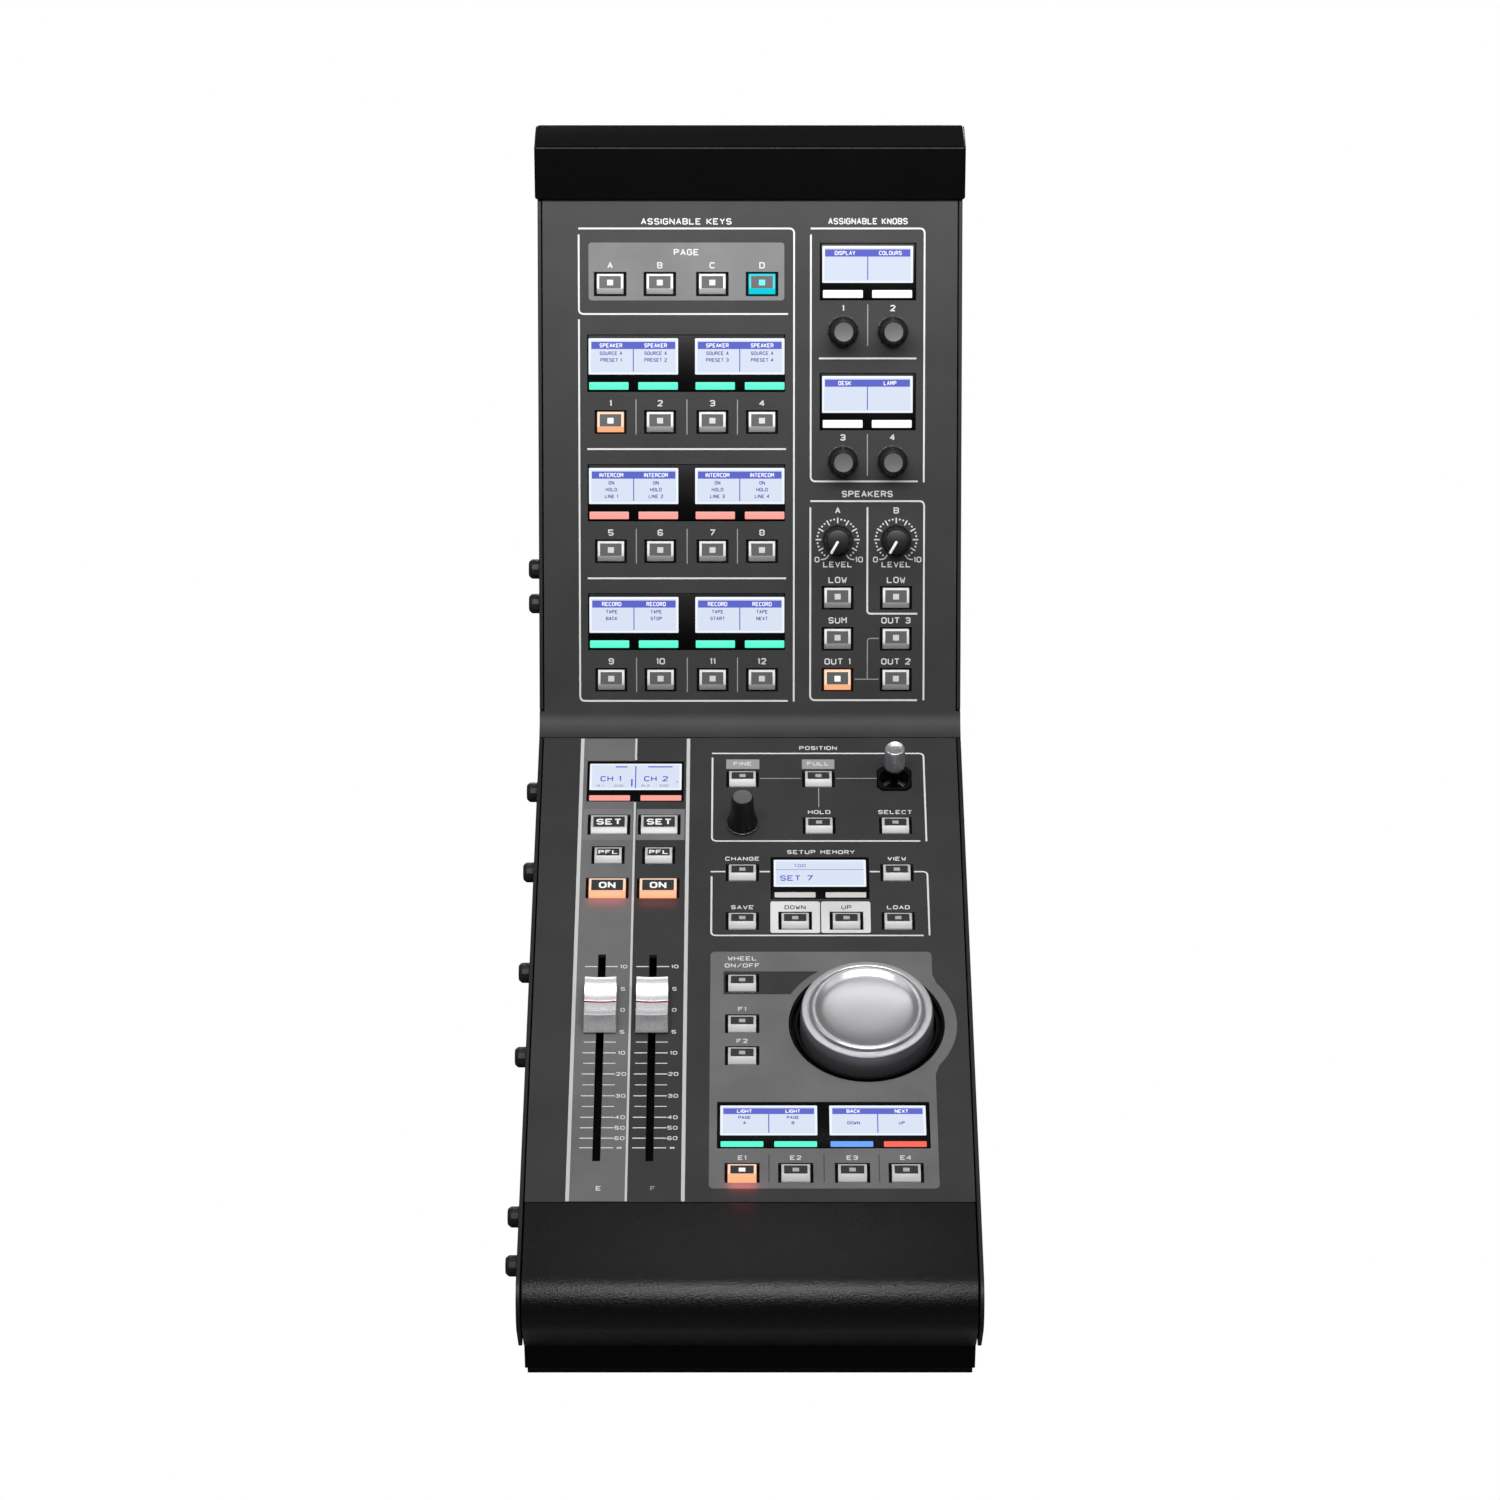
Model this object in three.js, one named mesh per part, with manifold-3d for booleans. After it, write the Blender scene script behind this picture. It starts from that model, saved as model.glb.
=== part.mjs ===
// Fader desk: a narrow control console with a low front panel and a steep upper panel.
// Millimetres. +X is to the operator's right, +Y is away from the operator, +Z is up.
// The origin is the middle of the underside.
//
// Places on a panel are given as x, y in that panel's own plane: y is the distance up the
// slope from the valley line, so the front panel's features all have a negative y, and z is
// the height above the panel's outer surface.

import * as THREE from "three";
import { mergeVertices } from "three/addons/utils/BufferGeometryUtils.js";
import Module from "manifold-3d";

const wasm = await Module();
wasm.setup();

// ---------------------------------------------------------------- driving dimensions

const GAP = 0.4; // clearance between neighbouring pieces

// body
const BODY_HALF_WIDTH = 91;
const SIDE_THICKNESS = 1.6;
const INNER_HALF_WIDTH = BODY_HALF_WIDTH - SIDE_THICKNESS - GAP - 0.1;
const FRONT_Y = -282;
const REAR_Y = 282;
const SIDE_FOOT_Z = 15.1; // lower edge of the side plates
const SHEET = 2; // thickness of the panels and covers

// the two working surfaces meet at the valley line
const VALLEY_Y = 32.5;
const VALLEY_Z = 101;
const LOWER_SLOPE = THREE.MathUtils.degToRad(9.25);
const UPPER_SLOPE = THREE.MathUtils.degToRad(61);
const UPPER_LENGTH = 229;
const LOWER_LENGTH = 269.4;
const COVE_RADIUS = 13; // concave bend that joins the upper panel to the front panel

// cap and rear
const CAP = { halfWidth: 92, base: [140.07, 300.35], crest: 145.6, top: 323, rear: 166 };
const CAP_CORNER = { startY: 148.4, inset: 4.1, lowZ: 311 }; // rear corners, cut back towards the top
const CAP_FLOOR = CAP.base[1] - GAP;
const REAR_BEND_Z = 112;

// armrest
const ARMREST_BACK = LOWER_LENGTH + GAP;
const NOSE_RADIUS = 14;
const CHIN = [-270.6, SIDE_FOOT_Z + 0.2];
const ARMREST_FLOOR_Z = 31;

// tray and feet
const TRAY_HALF_WIDTH = 88.8;
const TRAY = { front: -269.4, rear: 279.4, floor: 2.5, top: 30, wall: 1.5, rearCut: [80, 12] };
const FOOT = { halfWidth: 87.8, depth: 16, height: 2.2 };

// keys, as an opening in the panel, the cap's plan size and its heights from front to back
const KEY = { opening: [13.8, 10.2], cap: [11.4, 8.7], front: -0.25, crest: 1.7, back: 0.25 };
const WIDE_KEY = { opening: [17.9, 11.8], cap: [15.4, 10.3], front: -0.15, crest: 1.35, back: 0.5 };
const SKIRT = 2.4; // length of a key's sloped front facet
const FLANGE = { overhang: 0.6, top: -SHEET - 0.3, thickness: 0.9 };
const STEM = { radius: 1.9, bottom: -7.6 };
const STRIP_WEB = { depth: 4.6, top: -4, thickness: 1.2 };

// display modules hold two columns each
const COLUMN_HALF_PITCH = 10.65;
const MODULE_HALF_PITCH = 21.9;
const ROW_PITCH = 55.65;
const KEYS_BELOW_DISPLAY = 25.2;
const SINGLE_WINDOW = [41.3, 24.6];
const DOUBLE_WINDOW = [85, 24.6];
const LENS = { recess: 0.3, clearance: 0.3, base: -SHEET - 0.3, thickness: 1.1, rim: 1, rib: 3 };
const LENS_LINKS = { belowChannels: 10.5, channelsToScene: 12.5, sceneToJog: 9 }; // one y offset, two x

// upper panel layout
const USER_X = -27.4;
const USER_ROWS = [131.7, 131.7 - ROW_PITCH, 131.7 - 2 * ROW_PITCH];
const BANK_Y = 190.8;
const KNOB_X = 50.6;
const KNOB_ROWS = [170.6, 170.6 - ROW_PITCH];
const KNOB_WINDOWS = [196.1, 196.1 - ROW_PITCH];
const MONITOR_X = 50.4;
const MONITOR_HALF_PITCH = 12.6;
const LEVEL_Y = 81.1;
const MONITOR_ROWS = [55.9, 38.15, 20.4];

// front panel layout
const CHANNEL_X = [-59.8, -38.5];
const CHANNEL_WINDOW = [-49, -33.4];
const SEL_Y = -59.7;
const CUE_Y = -77.8;
const ON_Y = -97.1;
const FADER_X = [-61.1, -40];
const FADER_SLOT = { width: 3, top: -135.5, bottom: -248.2 };
const FADER_ZERO_Y = -166.6; // where the caps stand at 0 dB
const PANNER_X = [-3.2, 29.3, 61.7];
const PANNER_ROWS = [-31.9, -60];
const SCENE_WINDOW = [29.35, -91.1];
const SCENE_ROWS = [-87.9, -116.1];
const SCENE_STEP_X = [18.8, 40.15];
const JOG_KEYS_Y = [-151.4, -174.2, -191.8];
const JOG = { x: 47.6, y: -174.3, opening: 31.8, wheel: 27.4, rim: 8.9 };
const E_KEYS = [29.4, -254.4];
const STICK = { pivot: -8, neck: 1.8, cap: 4.4, capFrom: 7.4, capTo: 18.2 };
const STICK_PLATE = 7;
const STICK_CHAMFER = 2.2;

// rotary knobs
const KNOB_SHAFT = { radius: 3, bottom: -8.6, hole: 3.6 };
const ENCODER_BODY = { size: 12, top: -3.6, bore: 3.5 };

// circuit boards under the panels
const BOARD = { top: -9.4, thickness: 1.6 };
const UPPER_BOARD = { x: [-78, 80], y: [14, 210] };
const LOWER_BOARD = { left: -78, shelfLeft: -28, right: 84, back: -18, shelf: -110, front: -264 };
const MAIN_BOARD = { halfWidth: 78, front: 60, rearGap: 8, z: [16, 17.6], postRadius: 4, postX: 70 };
const POWER_SUPPLY = { x: [20, 74], y: [120, 210], top: 48 };
const HEATSINK = { x: [-60, -30], y: [110, 150], top: 30 };

// side bumpers, by their distance from the valley along each panel's edge
const BUMPER = { radius: 4.3, height: 4.6, inset: 6.2 };
const BUMPERS_LOWER = [-34, -82, -140, -187, -272, -297];
const BUMPERS_UPPER = [53, 68];

// rear connectors, as centre x, centre z, width and height of the opening
const REAR_SOCKETS = [
  { x: -52, z: 40, width: 17, height: 15, depth: 12 },
  { x: -26, z: 40, width: 17, height: 15, depth: 12 },
  { x: 48, z: 42, width: 28, height: 21, depth: 16 },
];
const SOCKET_WALL = 2.4;

const ROUND_STEPS = 16; // sides of a knob
const WHEEL_STEPS = 36; // sides of the jog wheel

// ---------------------------------------------------------------- geometry helpers

function toSolid(geometry) {
  const bare = geometry.clone();
  bare.deleteAttribute("normal");
  bare.deleteAttribute("uv");
  const merged = mergeVertices(bare, 1e-5);
  return new wasm.Manifold(
    new wasm.Mesh({
      numProp: 3,
      vertProperties: Float32Array.from(merged.attributes.position.array),
      triVerts: Uint32Array.from(merged.index.array),
    }),
  );
}

function toGeometry(solid) {
  const mesh = solid.getMesh();
  const geometry = new THREE.BufferGeometry();
  geometry.setAttribute("position", new THREE.BufferAttribute(Float32Array.from(mesh.vertProperties), 3));
  geometry.setIndex(new THREE.BufferAttribute(Uint32Array.from(mesh.triVerts), 1));
  const flat = geometry.toNonIndexed();
  flat.computeVertexNormals();
  return flat;
}

function join(...geometries) {
  return toGeometry(geometries.map(toSolid).reduce((sum, next) => sum.add(next)));
}

function cut(geometry, ...tools) {
  return toGeometry(tools.map(toSolid).reduce((rest, tool) => rest.subtract(tool), toSolid(geometry)));
}

function common(first, second) {
  return toGeometry(toSolid(first).intersect(toSolid(second)));
}

// a box by its limits on each axis
function block([x0, x1], [y0, y1], [z0, z1]) {
  const box = new THREE.BoxGeometry(x1 - x0, y1 - y0, z1 - z0);
  return box.translate((x0 + x1) / 2, (y0 + y1) / 2, (z0 + z1) / 2);
}

function centredBlock(x, y, width, depth, [z0, z1]) {
  return block([x - width / 2, x + width / 2], [y - depth / 2, y + depth / 2], [z0, z1]);
}

function shapeOf(points) {
  return new THREE.Shape(points.map(([a, b]) => new THREE.Vector2(a, b)));
}

// a flat plate from an outline in the panel's plane
function plate(points, [z0, z1]) {
  const geometry = new THREE.ExtrudeGeometry(shapeOf(points), { depth: z1 - z0, bevelEnabled: false });
  return geometry.translate(0, 0, z0);
}

// a side profile given as [y, z] points, pulled across the body from x0 to x1
function acrossBody(points, [x0, x1]) {
  const geometry = new THREE.ExtrudeGeometry(shapeOf(points), { depth: x1 - x0, bevelEnabled: false });
  geometry.applyMatrix4(
    new THREE.Matrix4().makeBasis(
      new THREE.Vector3(0, 1, 0),
      new THREE.Vector3(0, 0, 1),
      new THREE.Vector3(1, 0, 0),
    ),
  );
  return geometry.translate(x0, 0, 0);
}

// a turned piece from [radius, height] points that start and end on its axis
function turned(profile, steps = ROUND_STEPS) {
  const points = profile.map(([r, z]) => new THREE.Vector2(r, z));
  return new THREE.LatheGeometry(points, steps).rotateX(Math.PI / 2);
}

// a post of round section between two heights
function post(x, y, radius, [z0, z1], steps = ROUND_STEPS) {
  const cylinder = new THREE.CylinderGeometry(radius, radius, z1 - z0, steps).rotateX(Math.PI / 2);
  return cylinder.translate(x, y, (z0 + z1) / 2);
}

// an open line of [y, z] points moved sideways by a distance, to its right as it runs
function offsetLine(points, distance) {
  const normals = points.slice(1).map(([y, z], i) => {
    const [dy, dz] = [y - points[i][0], z - points[i][1]];
    const length = Math.hypot(dy, dz);
    return [dz / length, -dy / length];
  });
  return points.map(([y, z], i) => {
    const before = normals[Math.max(i - 1, 0)];
    const after = normals[Math.min(i, normals.length - 1)];
    const scale = distance / (1 + before[0] * after[0] + before[1] * after[1]);
    return [y + (before[0] + after[0]) * scale, z + (before[1] + after[1]) * scale];
  });
}

// where a panel point lies in the side view: s up the slope, n above the surface
function sidePoint(slope, s, n = 0) {
  const [c, k] = [Math.cos(slope), Math.sin(slope)];
  return [VALLEY_Y + s * c - n * k, VALLEY_Z + s * k + n * c];
}

const onLower = (s, n) => sidePoint(LOWER_SLOPE, s, n);
const onUpper = (s, n) => sidePoint(UPPER_SLOPE, s, n);

function arcPoints([cy, cz], radius, from, to, steps) {
  return Array.from({ length: steps + 1 }, (_, i) => {
    const angle = THREE.MathUtils.degToRad(from + ((to - from) * i) / steps);
    return [cy + radius * Math.cos(angle), cz + radius * Math.sin(angle)];
  });
}

// the front nose: a round edge that is tangent to the front panel's plane, down to the chin
function nosePoints() {
  const slope = THREE.MathUtils.radToDeg(LOWER_SLOPE);
  const centreY = FRONT_Y + NOSE_RADIUS;
  const surfaceZ = VALLEY_Z + (centreY - VALLEY_Y) * Math.tan(LOWER_SLOPE);
  const centre = [centreY, surfaceZ - NOSE_RADIUS / Math.cos(LOWER_SLOPE)];
  const chinSlope = 212;
  return [CHIN, ...arcPoints(centre, NOSE_RADIUS, chinSlope, 90 + slope, 10)];
}

// ---------------------------------------------------------------- scene tree

const desk = new THREE.Group();

function panelGroup(slope) {
  const group = new THREE.Group();
  group.position.set(0, VALLEY_Y, VALLEY_Z);
  group.rotation.x = slope;
  desk.add(group);
  return group;
}

const upper = panelGroup(UPPER_SLOPE);
const lower = panelGroup(LOWER_SLOPE);

const MATERIALS = {
  panel: { color: 0x2b2c2e, roughness: 0.55, metalness: 0.2 },
  cover: { color: 0x0c0c0d, roughness: 0.6, metalness: 0.2 },
  leather: { color: 0x121213, roughness: 0.65, metalness: 0 },
  rubber: { color: 0x0a0a0a, roughness: 0.7, metalness: 0 },
  lens: { color: 0x050506, roughness: 0.15, metalness: 0 },
  key: { color: 0xb9babc, roughness: 0.35, metalness: 0.3 },
  knob: { color: 0x111112, roughness: 0.5, metalness: 0 },
  metal: { color: 0xc4c5c8, roughness: 0.25, metalness: 1 },
  plastic: { color: 0x0f0f10, roughness: 0.5, metalness: 0 },
  board: { color: 0x0f4a2c, roughness: 0.5, metalness: 0 },
  steel: { color: 0x8a8c90, roughness: 0.4, metalness: 1 },
  silver: { color: 0xd6d7da, roughness: 0.3, metalness: 0.4 },
};

function add(parent, name, geometry, material, [x, y, z] = [0, 0, 0]) {
  const mesh = new THREE.Mesh(geometry, new THREE.MeshStandardMaterial(MATERIALS[material]));
  mesh.name = name;
  mesh.position.set(x, y, z);
  parent.add(mesh);
  return mesh;
}

// ---------------------------------------------------------------- layout lists

const moduleColumns = (x) =>
  [-1, 1].flatMap((side) => [-1, 1].map((half) => x + side * MODULE_HALF_PITCH + half * COLUMN_HALF_PITCH));

const monitorX = [-1, 1].map((side) => MONITOR_X + side * MONITOR_HALF_PITCH);
const knobX = [-1, 1].map((side) => KNOB_X + side * COLUMN_HALF_PITCH);

const UPPER_STRIPS = [
  { name: "bank_keys", columns: moduleColumns(USER_X), y: BANK_Y },
  { name: "user_keys_1_4", columns: moduleColumns(USER_X), y: USER_ROWS[0] },
  { name: "user_keys_5_8", columns: moduleColumns(USER_X), y: USER_ROWS[1] },
  { name: "user_keys_9_12", columns: moduleColumns(USER_X), y: USER_ROWS[2] },
];

const UPPER_KEYS = [
  { name: "dim_a_key", x: monitorX[0], y: MONITOR_ROWS[0] },
  { name: "dim_b_key", x: monitorX[1], y: MONITOR_ROWS[0] },
  { name: "mono_key", x: monitorX[0], y: MONITOR_ROWS[1] },
  { name: "alt_2_key", x: monitorX[1], y: MONITOR_ROWS[1] },
  { name: "main_key", x: monitorX[0], y: MONITOR_ROWS[2] },
  { name: "alt_1_key", x: monitorX[1], y: MONITOR_ROWS[2] },
];

const UPPER_WINDOWS = [
  ...USER_ROWS.map((y) => ({ x: USER_X, y: y + KEYS_BELOW_DISPLAY, size: DOUBLE_WINDOW })),
  ...KNOB_WINDOWS.map((y) => ({ x: KNOB_X, y, size: SINGLE_WINDOW })),
];

const ENCODERS = KNOB_ROWS.flatMap((y, row) =>
  knobX.map((x, column) => ({ name: `user_knob_${row * 2 + column + 1}`, x, y })),
);
const LEVEL_KNOBS = monitorX.map((x, i) => ({ name: `level_knob_${"ab"[i]}`, x, y: LEVEL_Y }));

const LOWER_STRIPS = [{ name: "scene_recall_keys", columns: moduleColumns(E_KEYS[0]), y: E_KEYS[1] }];

const LOWER_KEYS = [
  ...CHANNEL_X.flatMap((x, i) => [
    { name: `sel_key_${i + 1}`, x, y: SEL_Y, size: WIDE_KEY },
    { name: `cue_key_${i + 1}`, x, y: CUE_Y },
    { name: `on_key_${i + 1}`, x, y: ON_Y, size: WIDE_KEY },
  ]),
  { name: "relative_key", x: PANNER_X[0], y: PANNER_ROWS[0] },
  { name: "absolute_key", x: PANNER_X[1], y: PANNER_ROWS[0] },
  { name: "grab_key", x: PANNER_X[1], y: PANNER_ROWS[1] },
  { name: "assign_key", x: PANNER_X[2], y: PANNER_ROWS[1] },
  { name: "update_key", x: PANNER_X[0], y: SCENE_ROWS[0] },
  { name: "preview_key", x: PANNER_X[2], y: SCENE_ROWS[0] },
  { name: "store_key", x: PANNER_X[0], y: SCENE_ROWS[1] },
  { name: "decrement_key", x: SCENE_STEP_X[0], y: SCENE_ROWS[1] },
  { name: "increment_key", x: SCENE_STEP_X[1], y: SCENE_ROWS[1] },
  { name: "recall_key", x: PANNER_X[2], y: SCENE_ROWS[1] },
  { name: "jog_on_key", x: PANNER_X[0], y: JOG_KEYS_Y[0] },
  { name: "function_1_key", x: PANNER_X[0], y: JOG_KEYS_Y[1] },
  { name: "function_2_key", x: PANNER_X[0], y: JOG_KEYS_Y[2] },
];

const LOWER_WINDOWS = [
  { x: CHANNEL_WINDOW[0], y: CHANNEL_WINDOW[1], size: SINGLE_WINDOW },
  { x: SCENE_WINDOW[0], y: SCENE_WINDOW[1], size: SINGLE_WINDOW },
  { x: E_KEYS[0], y: E_KEYS[1] + KEYS_BELOW_DISPLAY, size: DOUBLE_WINDOW },
];

const PAN_KNOB = { name: "pan_knob", x: PANNER_X[0], y: PANNER_ROWS[1] };
const JOYSTICK = { x: PANNER_X[2], y: PANNER_ROWS[0] };

// ---------------------------------------------------------------- panels

const THROUGH = [-SHEET - 1, 1];

// every key's place and size, with the strips' keys one by one
function keyPlaces(keys, strips) {
  const inStrips = strips.flatMap(({ columns, y }) => columns.map((x) => ({ x, y, size: KEY })));
  return [...keys.map(({ x, y, size = KEY }) => ({ x, y, size })), ...inStrips];
}

const keyHoles = (places) => places.map(({ x, y, size }) => centredBlock(x, y, ...size.opening, THROUGH));
const windowHoles = (windows) => windows.map(({ x, y, size }) => centredBlock(x, y, ...size, THROUGH));
const shaftHoles = (knobs) => knobs.map(({ x, y }) => post(x, y, KNOB_SHAFT.hole, THROUGH));

// how far the concave bend reaches along each panel from the valley line
const COVE_END = COVE_RADIUS * Math.tan((UPPER_SLOPE - LOWER_SLOPE) / 2);

// the concave bend between the panels covers the side plates' edges, so it is the full width
function coveGeometry() {
  const outer = [];
  const steps = 8;
  const centre = onLower(-COVE_END, COVE_RADIUS);
  for (let i = 0; i <= steps; i += 1) {
    const tilt = LOWER_SLOPE + ((UPPER_SLOPE - LOWER_SLOPE) * i) / steps;
    outer.push([centre[0] + COVE_RADIUS * Math.sin(tilt), centre[1] - COVE_RADIUS * Math.cos(tilt)]);
  }
  outer.push(onUpper(COVE_END + GAP));
  const inner = offsetLine(outer, SHEET * 0.9);
  return acrossBody([...outer, ...inner.reverse()], [-BODY_HALF_WIDTH, BODY_HALF_WIDTH]);
}

function upperPanelGeometry() {
  const sheet = block([-INNER_HALF_WIDTH, INNER_HALF_WIDTH], [COVE_END, UPPER_LENGTH], [-SHEET, 0]);
  const cove = coveGeometry().translate(0, -VALLEY_Y, -VALLEY_Z).rotateX(-UPPER_SLOPE);
  return cut(
    join(sheet, cove),
    ...keyHoles(keyPlaces(UPPER_KEYS, UPPER_STRIPS)),
    ...windowHoles(UPPER_WINDOWS),
    ...shaftHoles([...ENCODERS, ...LEVEL_KNOBS]),
  );
}

// a square with its corners cut off, about the joystick's centre
function joystickOutline(halfSize, chamfer) {
  const [a, b] = [halfSize, halfSize - chamfer];
  const corners = [[-a, -b], [-b, -a], [b, -a], [a, -b], [a, b], [b, a], [-b, a], [-a, b]];
  return corners.map(([x, y]) => [JOYSTICK.x + x, JOYSTICK.y + y]);
}

function lowerPanelGeometry() {
  const { width, top, bottom } = FADER_SLOT;
  return cut(
    block([-INNER_HALF_WIDTH, INNER_HALF_WIDTH], [-LOWER_LENGTH, -COVE_END - GAP], [-SHEET, 0]),
    ...keyHoles(keyPlaces(LOWER_KEYS, LOWER_STRIPS)),
    ...windowHoles(LOWER_WINDOWS),
    ...shaftHoles([PAN_KNOB]),
    ...FADER_X.map((x) => block([x - width / 2, x + width / 2], [bottom, top], THROUGH)),
    post(JOG.x, JOG.y, JOG.opening, THROUGH, WHEEL_STEPS),
    plate(joystickOutline(STICK_PLATE + GAP, STICK_CHAMFER), THROUGH),
  );
}

// ---------------------------------------------------------------- body

const SIDE_NOTCH = 2.6; // the side plates step down under the concave bend
const COVE_REACH = COVE_END + 3 * GAP;

function valleyBelow(depth) {
  const bisector = (LOWER_SLOPE + UPPER_SLOPE) / 2;
  const drop = depth / Math.cos((UPPER_SLOPE - LOWER_SLOPE) / 2);
  return [VALLEY_Y + drop * Math.sin(bisector), VALLEY_Z - drop * Math.cos(bisector)];
}

// how far back the long rear slope lies at a height
function rearAt(z) {
  return CAP.rear + ((REAR_Y - CAP.rear) * (CAP.top - z)) / (CAP.top - REAR_BEND_Z);
}

function sidePlateGeometry(x0, x1) {
  const outline = [
    ...nosePoints(),
    onLower(-COVE_REACH),
    onLower(-COVE_REACH, -SIDE_NOTCH),
    valleyBelow(SIDE_NOTCH),
    onUpper(COVE_REACH, -SIDE_NOTCH),
    onUpper(COVE_REACH),
    onUpper((CAP_FLOOR - VALLEY_Z) / Math.sin(UPPER_SLOPE)),
    [rearAt(CAP_FLOOR), CAP_FLOOR],
    [REAR_Y, REAR_BEND_Z],
    [REAR_Y, SIDE_FOOT_Z],
  ];
  return acrossBody(outline, [x0, x1]);
}

function bumperGeometry(side, [y, z]) {
  const { radius, height } = BUMPER;
  const profile = [[0, -0.5], [radius, -0.5], [radius, height - 1.4], [radius - 1.2, height], [0, height]];
  return turned(profile, 12).rotateY((side * Math.PI) / 2).translate(side * BODY_HALF_WIDTH, y, z);
}

function addSidePlates() {
  const [inner, outer] = [BODY_HALF_WIDTH - SIDE_THICKNESS, BODY_HALF_WIDTH];
  add(desk, "side_plate_right", sidePlateGeometry(inner, outer), "cover");
  const centres = [
    ...BUMPERS_LOWER.map((s) => onLower(s, -BUMPER.inset)),
    ...BUMPERS_UPPER.map((s) => onUpper(s, -BUMPER.inset)),
  ];
  const bumpers = centres.map((centre) => bumperGeometry(-1, centre));
  add(desk, "side_plate_left", join(sidePlateGeometry(-outer, -inner), ...bumpers), "cover");
}

function armrestGeometry() {
  const inner = TRAY.front - GAP;
  const outline = [
    ...nosePoints(),
    onLower(-ARMREST_BACK),
    [onLower(-ARMREST_BACK)[0], ARMREST_FLOOR_Z],
    [inner, ARMREST_FLOOR_Z],
    [inner, CHIN[1]],
  ];
  return acrossBody(outline, [-INNER_HALF_WIDTH, INNER_HALF_WIDTH]);
}

function trayGeometry() {
  const { front, rear, floor, top, wall, rearCut } = TRAY;
  const half = TRAY_HALF_WIDTH;
  const [cutHalf, cutFrom] = rearCut;
  return cut(
    block([-half, half], [front, rear], [floor, top]),
    block([wall - half, half - wall], [front + wall, rear - wall], [floor + wall, top + 1]),
    block([-cutHalf, cutHalf], [rear - wall - 1, rear + 1], [cutFrom, top + 1]),
  );
}

function footGeometry(y) {
  return block([-FOOT.halfWidth, FOOT.halfWidth], [y - FOOT.depth / 2, y + FOOT.depth / 2], [0, FOOT.height]);
}

function socketHole({ x, z, width, height }, margin, [y0, y1]) {
  const [w, h] = [width / 2 + margin, height / 2 + margin];
  return block([x - w, x + w], [y0, y1], [z - h, z + h]);
}

// one folded sheet: the long rear slope and the upright connector panel
function rearPanelGeometry() {
  const outer = [[REAR_Y, SIDE_FOOT_Z], [REAR_Y, REAR_BEND_Z], [rearAt(CAP_FLOOR), CAP_FLOOR]];
  const inner = offsetLine(outer, -SHEET).reverse();
  const sheet = acrossBody([...outer, ...inner], [-INNER_HALF_WIDTH, INNER_HALF_WIDTH]);
  const holes = REAR_SOCKETS.map((socket) => socketHole(socket, SOCKET_WALL + GAP, [REAR_Y - 10, REAR_Y + 1]));
  return cut(sheet, ...holes);
}

// the cap's side profile pulled across, with its rear corners cut back towards the top
function capSolid(profile, halfWidth) {
  const { startY, inset, lowZ } = CAP_CORNER;
  const front = CAP.base[0] - 5;
  const rear = REAR_Y;
  const narrow = halfWidth - (inset * (rear - startY)) / (CAP.rear - startY);
  const corners = [-1, 1].flatMap((side) => [
    ...[CAP.base[1] - 5, lowZ].flatMap((z) => [[side * halfWidth, front, z], [side * halfWidth, rear, z]]),
    [side * halfWidth, front, CAP.top + 1],
    [side * halfWidth, startY, CAP.top + 1],
    [side * narrow, rear, CAP.top + 1],
  ]);
  const hull = toGeometry(wasm.Manifold.hull(corners));
  return common(acrossBody(profile, [-halfWidth, halfWidth]), hull);
}

// the cap: front face, top, cheeks that overlap the side plates' upper edges, and the rear slope
function capGeometry() {
  const outer = [CAP.base, [CAP.crest, CAP.top], [CAP.rear, CAP.top], [rearAt(CAP.base[1]), CAP.base[1]]];
  const inner = offsetLine(outer, SHEET);
  const drop = 5;
  const open = [[inner[3][0] + 2, CAP.base[1] - drop], [inner[0][0] - 1, CAP.base[1] - drop]];
  return cut(capSolid(outer, CAP.halfWidth), capSolid([...inner, ...open], CAP.halfWidth - SHEET));
}

// ---------------------------------------------------------------- display lenses

// a smoked lens: one pad in each display window, joined by ribs under the panel
function lensGeometry(windows, ribs) {
  const base = [LENS.base - LENS.thickness, LENS.base];
  const pads = windows.flatMap(({ x, y, size: [width, depth] }) => [
    centredBlock(x, y, width + 2 * LENS.rim, depth + 2 * LENS.rim, base),
    centredBlock(x, y, width - 2 * LENS.clearance, depth - 2 * LENS.clearance, [LENS.base - 0.5, -LENS.recess]),
  ]);
  return join(...pads, ...ribs.map(([xs, ys]) => block(xs, ys, base)));
}

function addLenses() {
  const half = LENS.rib / 2;
  const rows = UPPER_WINDOWS.map(({ y }) => y);
  const link = (rows[0] + rows[4]) / 2;
  const upperRibs = [
    [[USER_X - half, USER_X + half], [rows[2], rows[0]]],
    [[KNOB_X - half, KNOB_X + half], [rows[4], rows[3]]],
    [[USER_X, KNOB_X], [link - half, link + half]],
  ];
  add(upper, "upper_display_lens", lensGeometry(UPPER_WINDOWS, upperRibs), "lens");

  const crossY = CHANNEL_WINDOW[1] - LENS_LINKS.belowChannels;
  const crossX = LENS_LINKS.channelsToScene;
  const jogX = LENS_LINKS.sceneToJog;
  const lowerRibs = [
    [[CHANNEL_WINDOW[0], crossX + half], [crossY - half, crossY + half]],
    [[crossX - half, crossX + half], [SCENE_WINDOW[1], crossY]],
    [[jogX - half, jogX + half], [E_KEYS[1] + KEYS_BELOW_DISPLAY, SCENE_WINDOW[1]]],
  ];
  add(lower, "lower_display_lens", lensGeometry(LOWER_WINDOWS, lowerRibs), "lens");
}

// ---------------------------------------------------------------- keys

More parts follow.
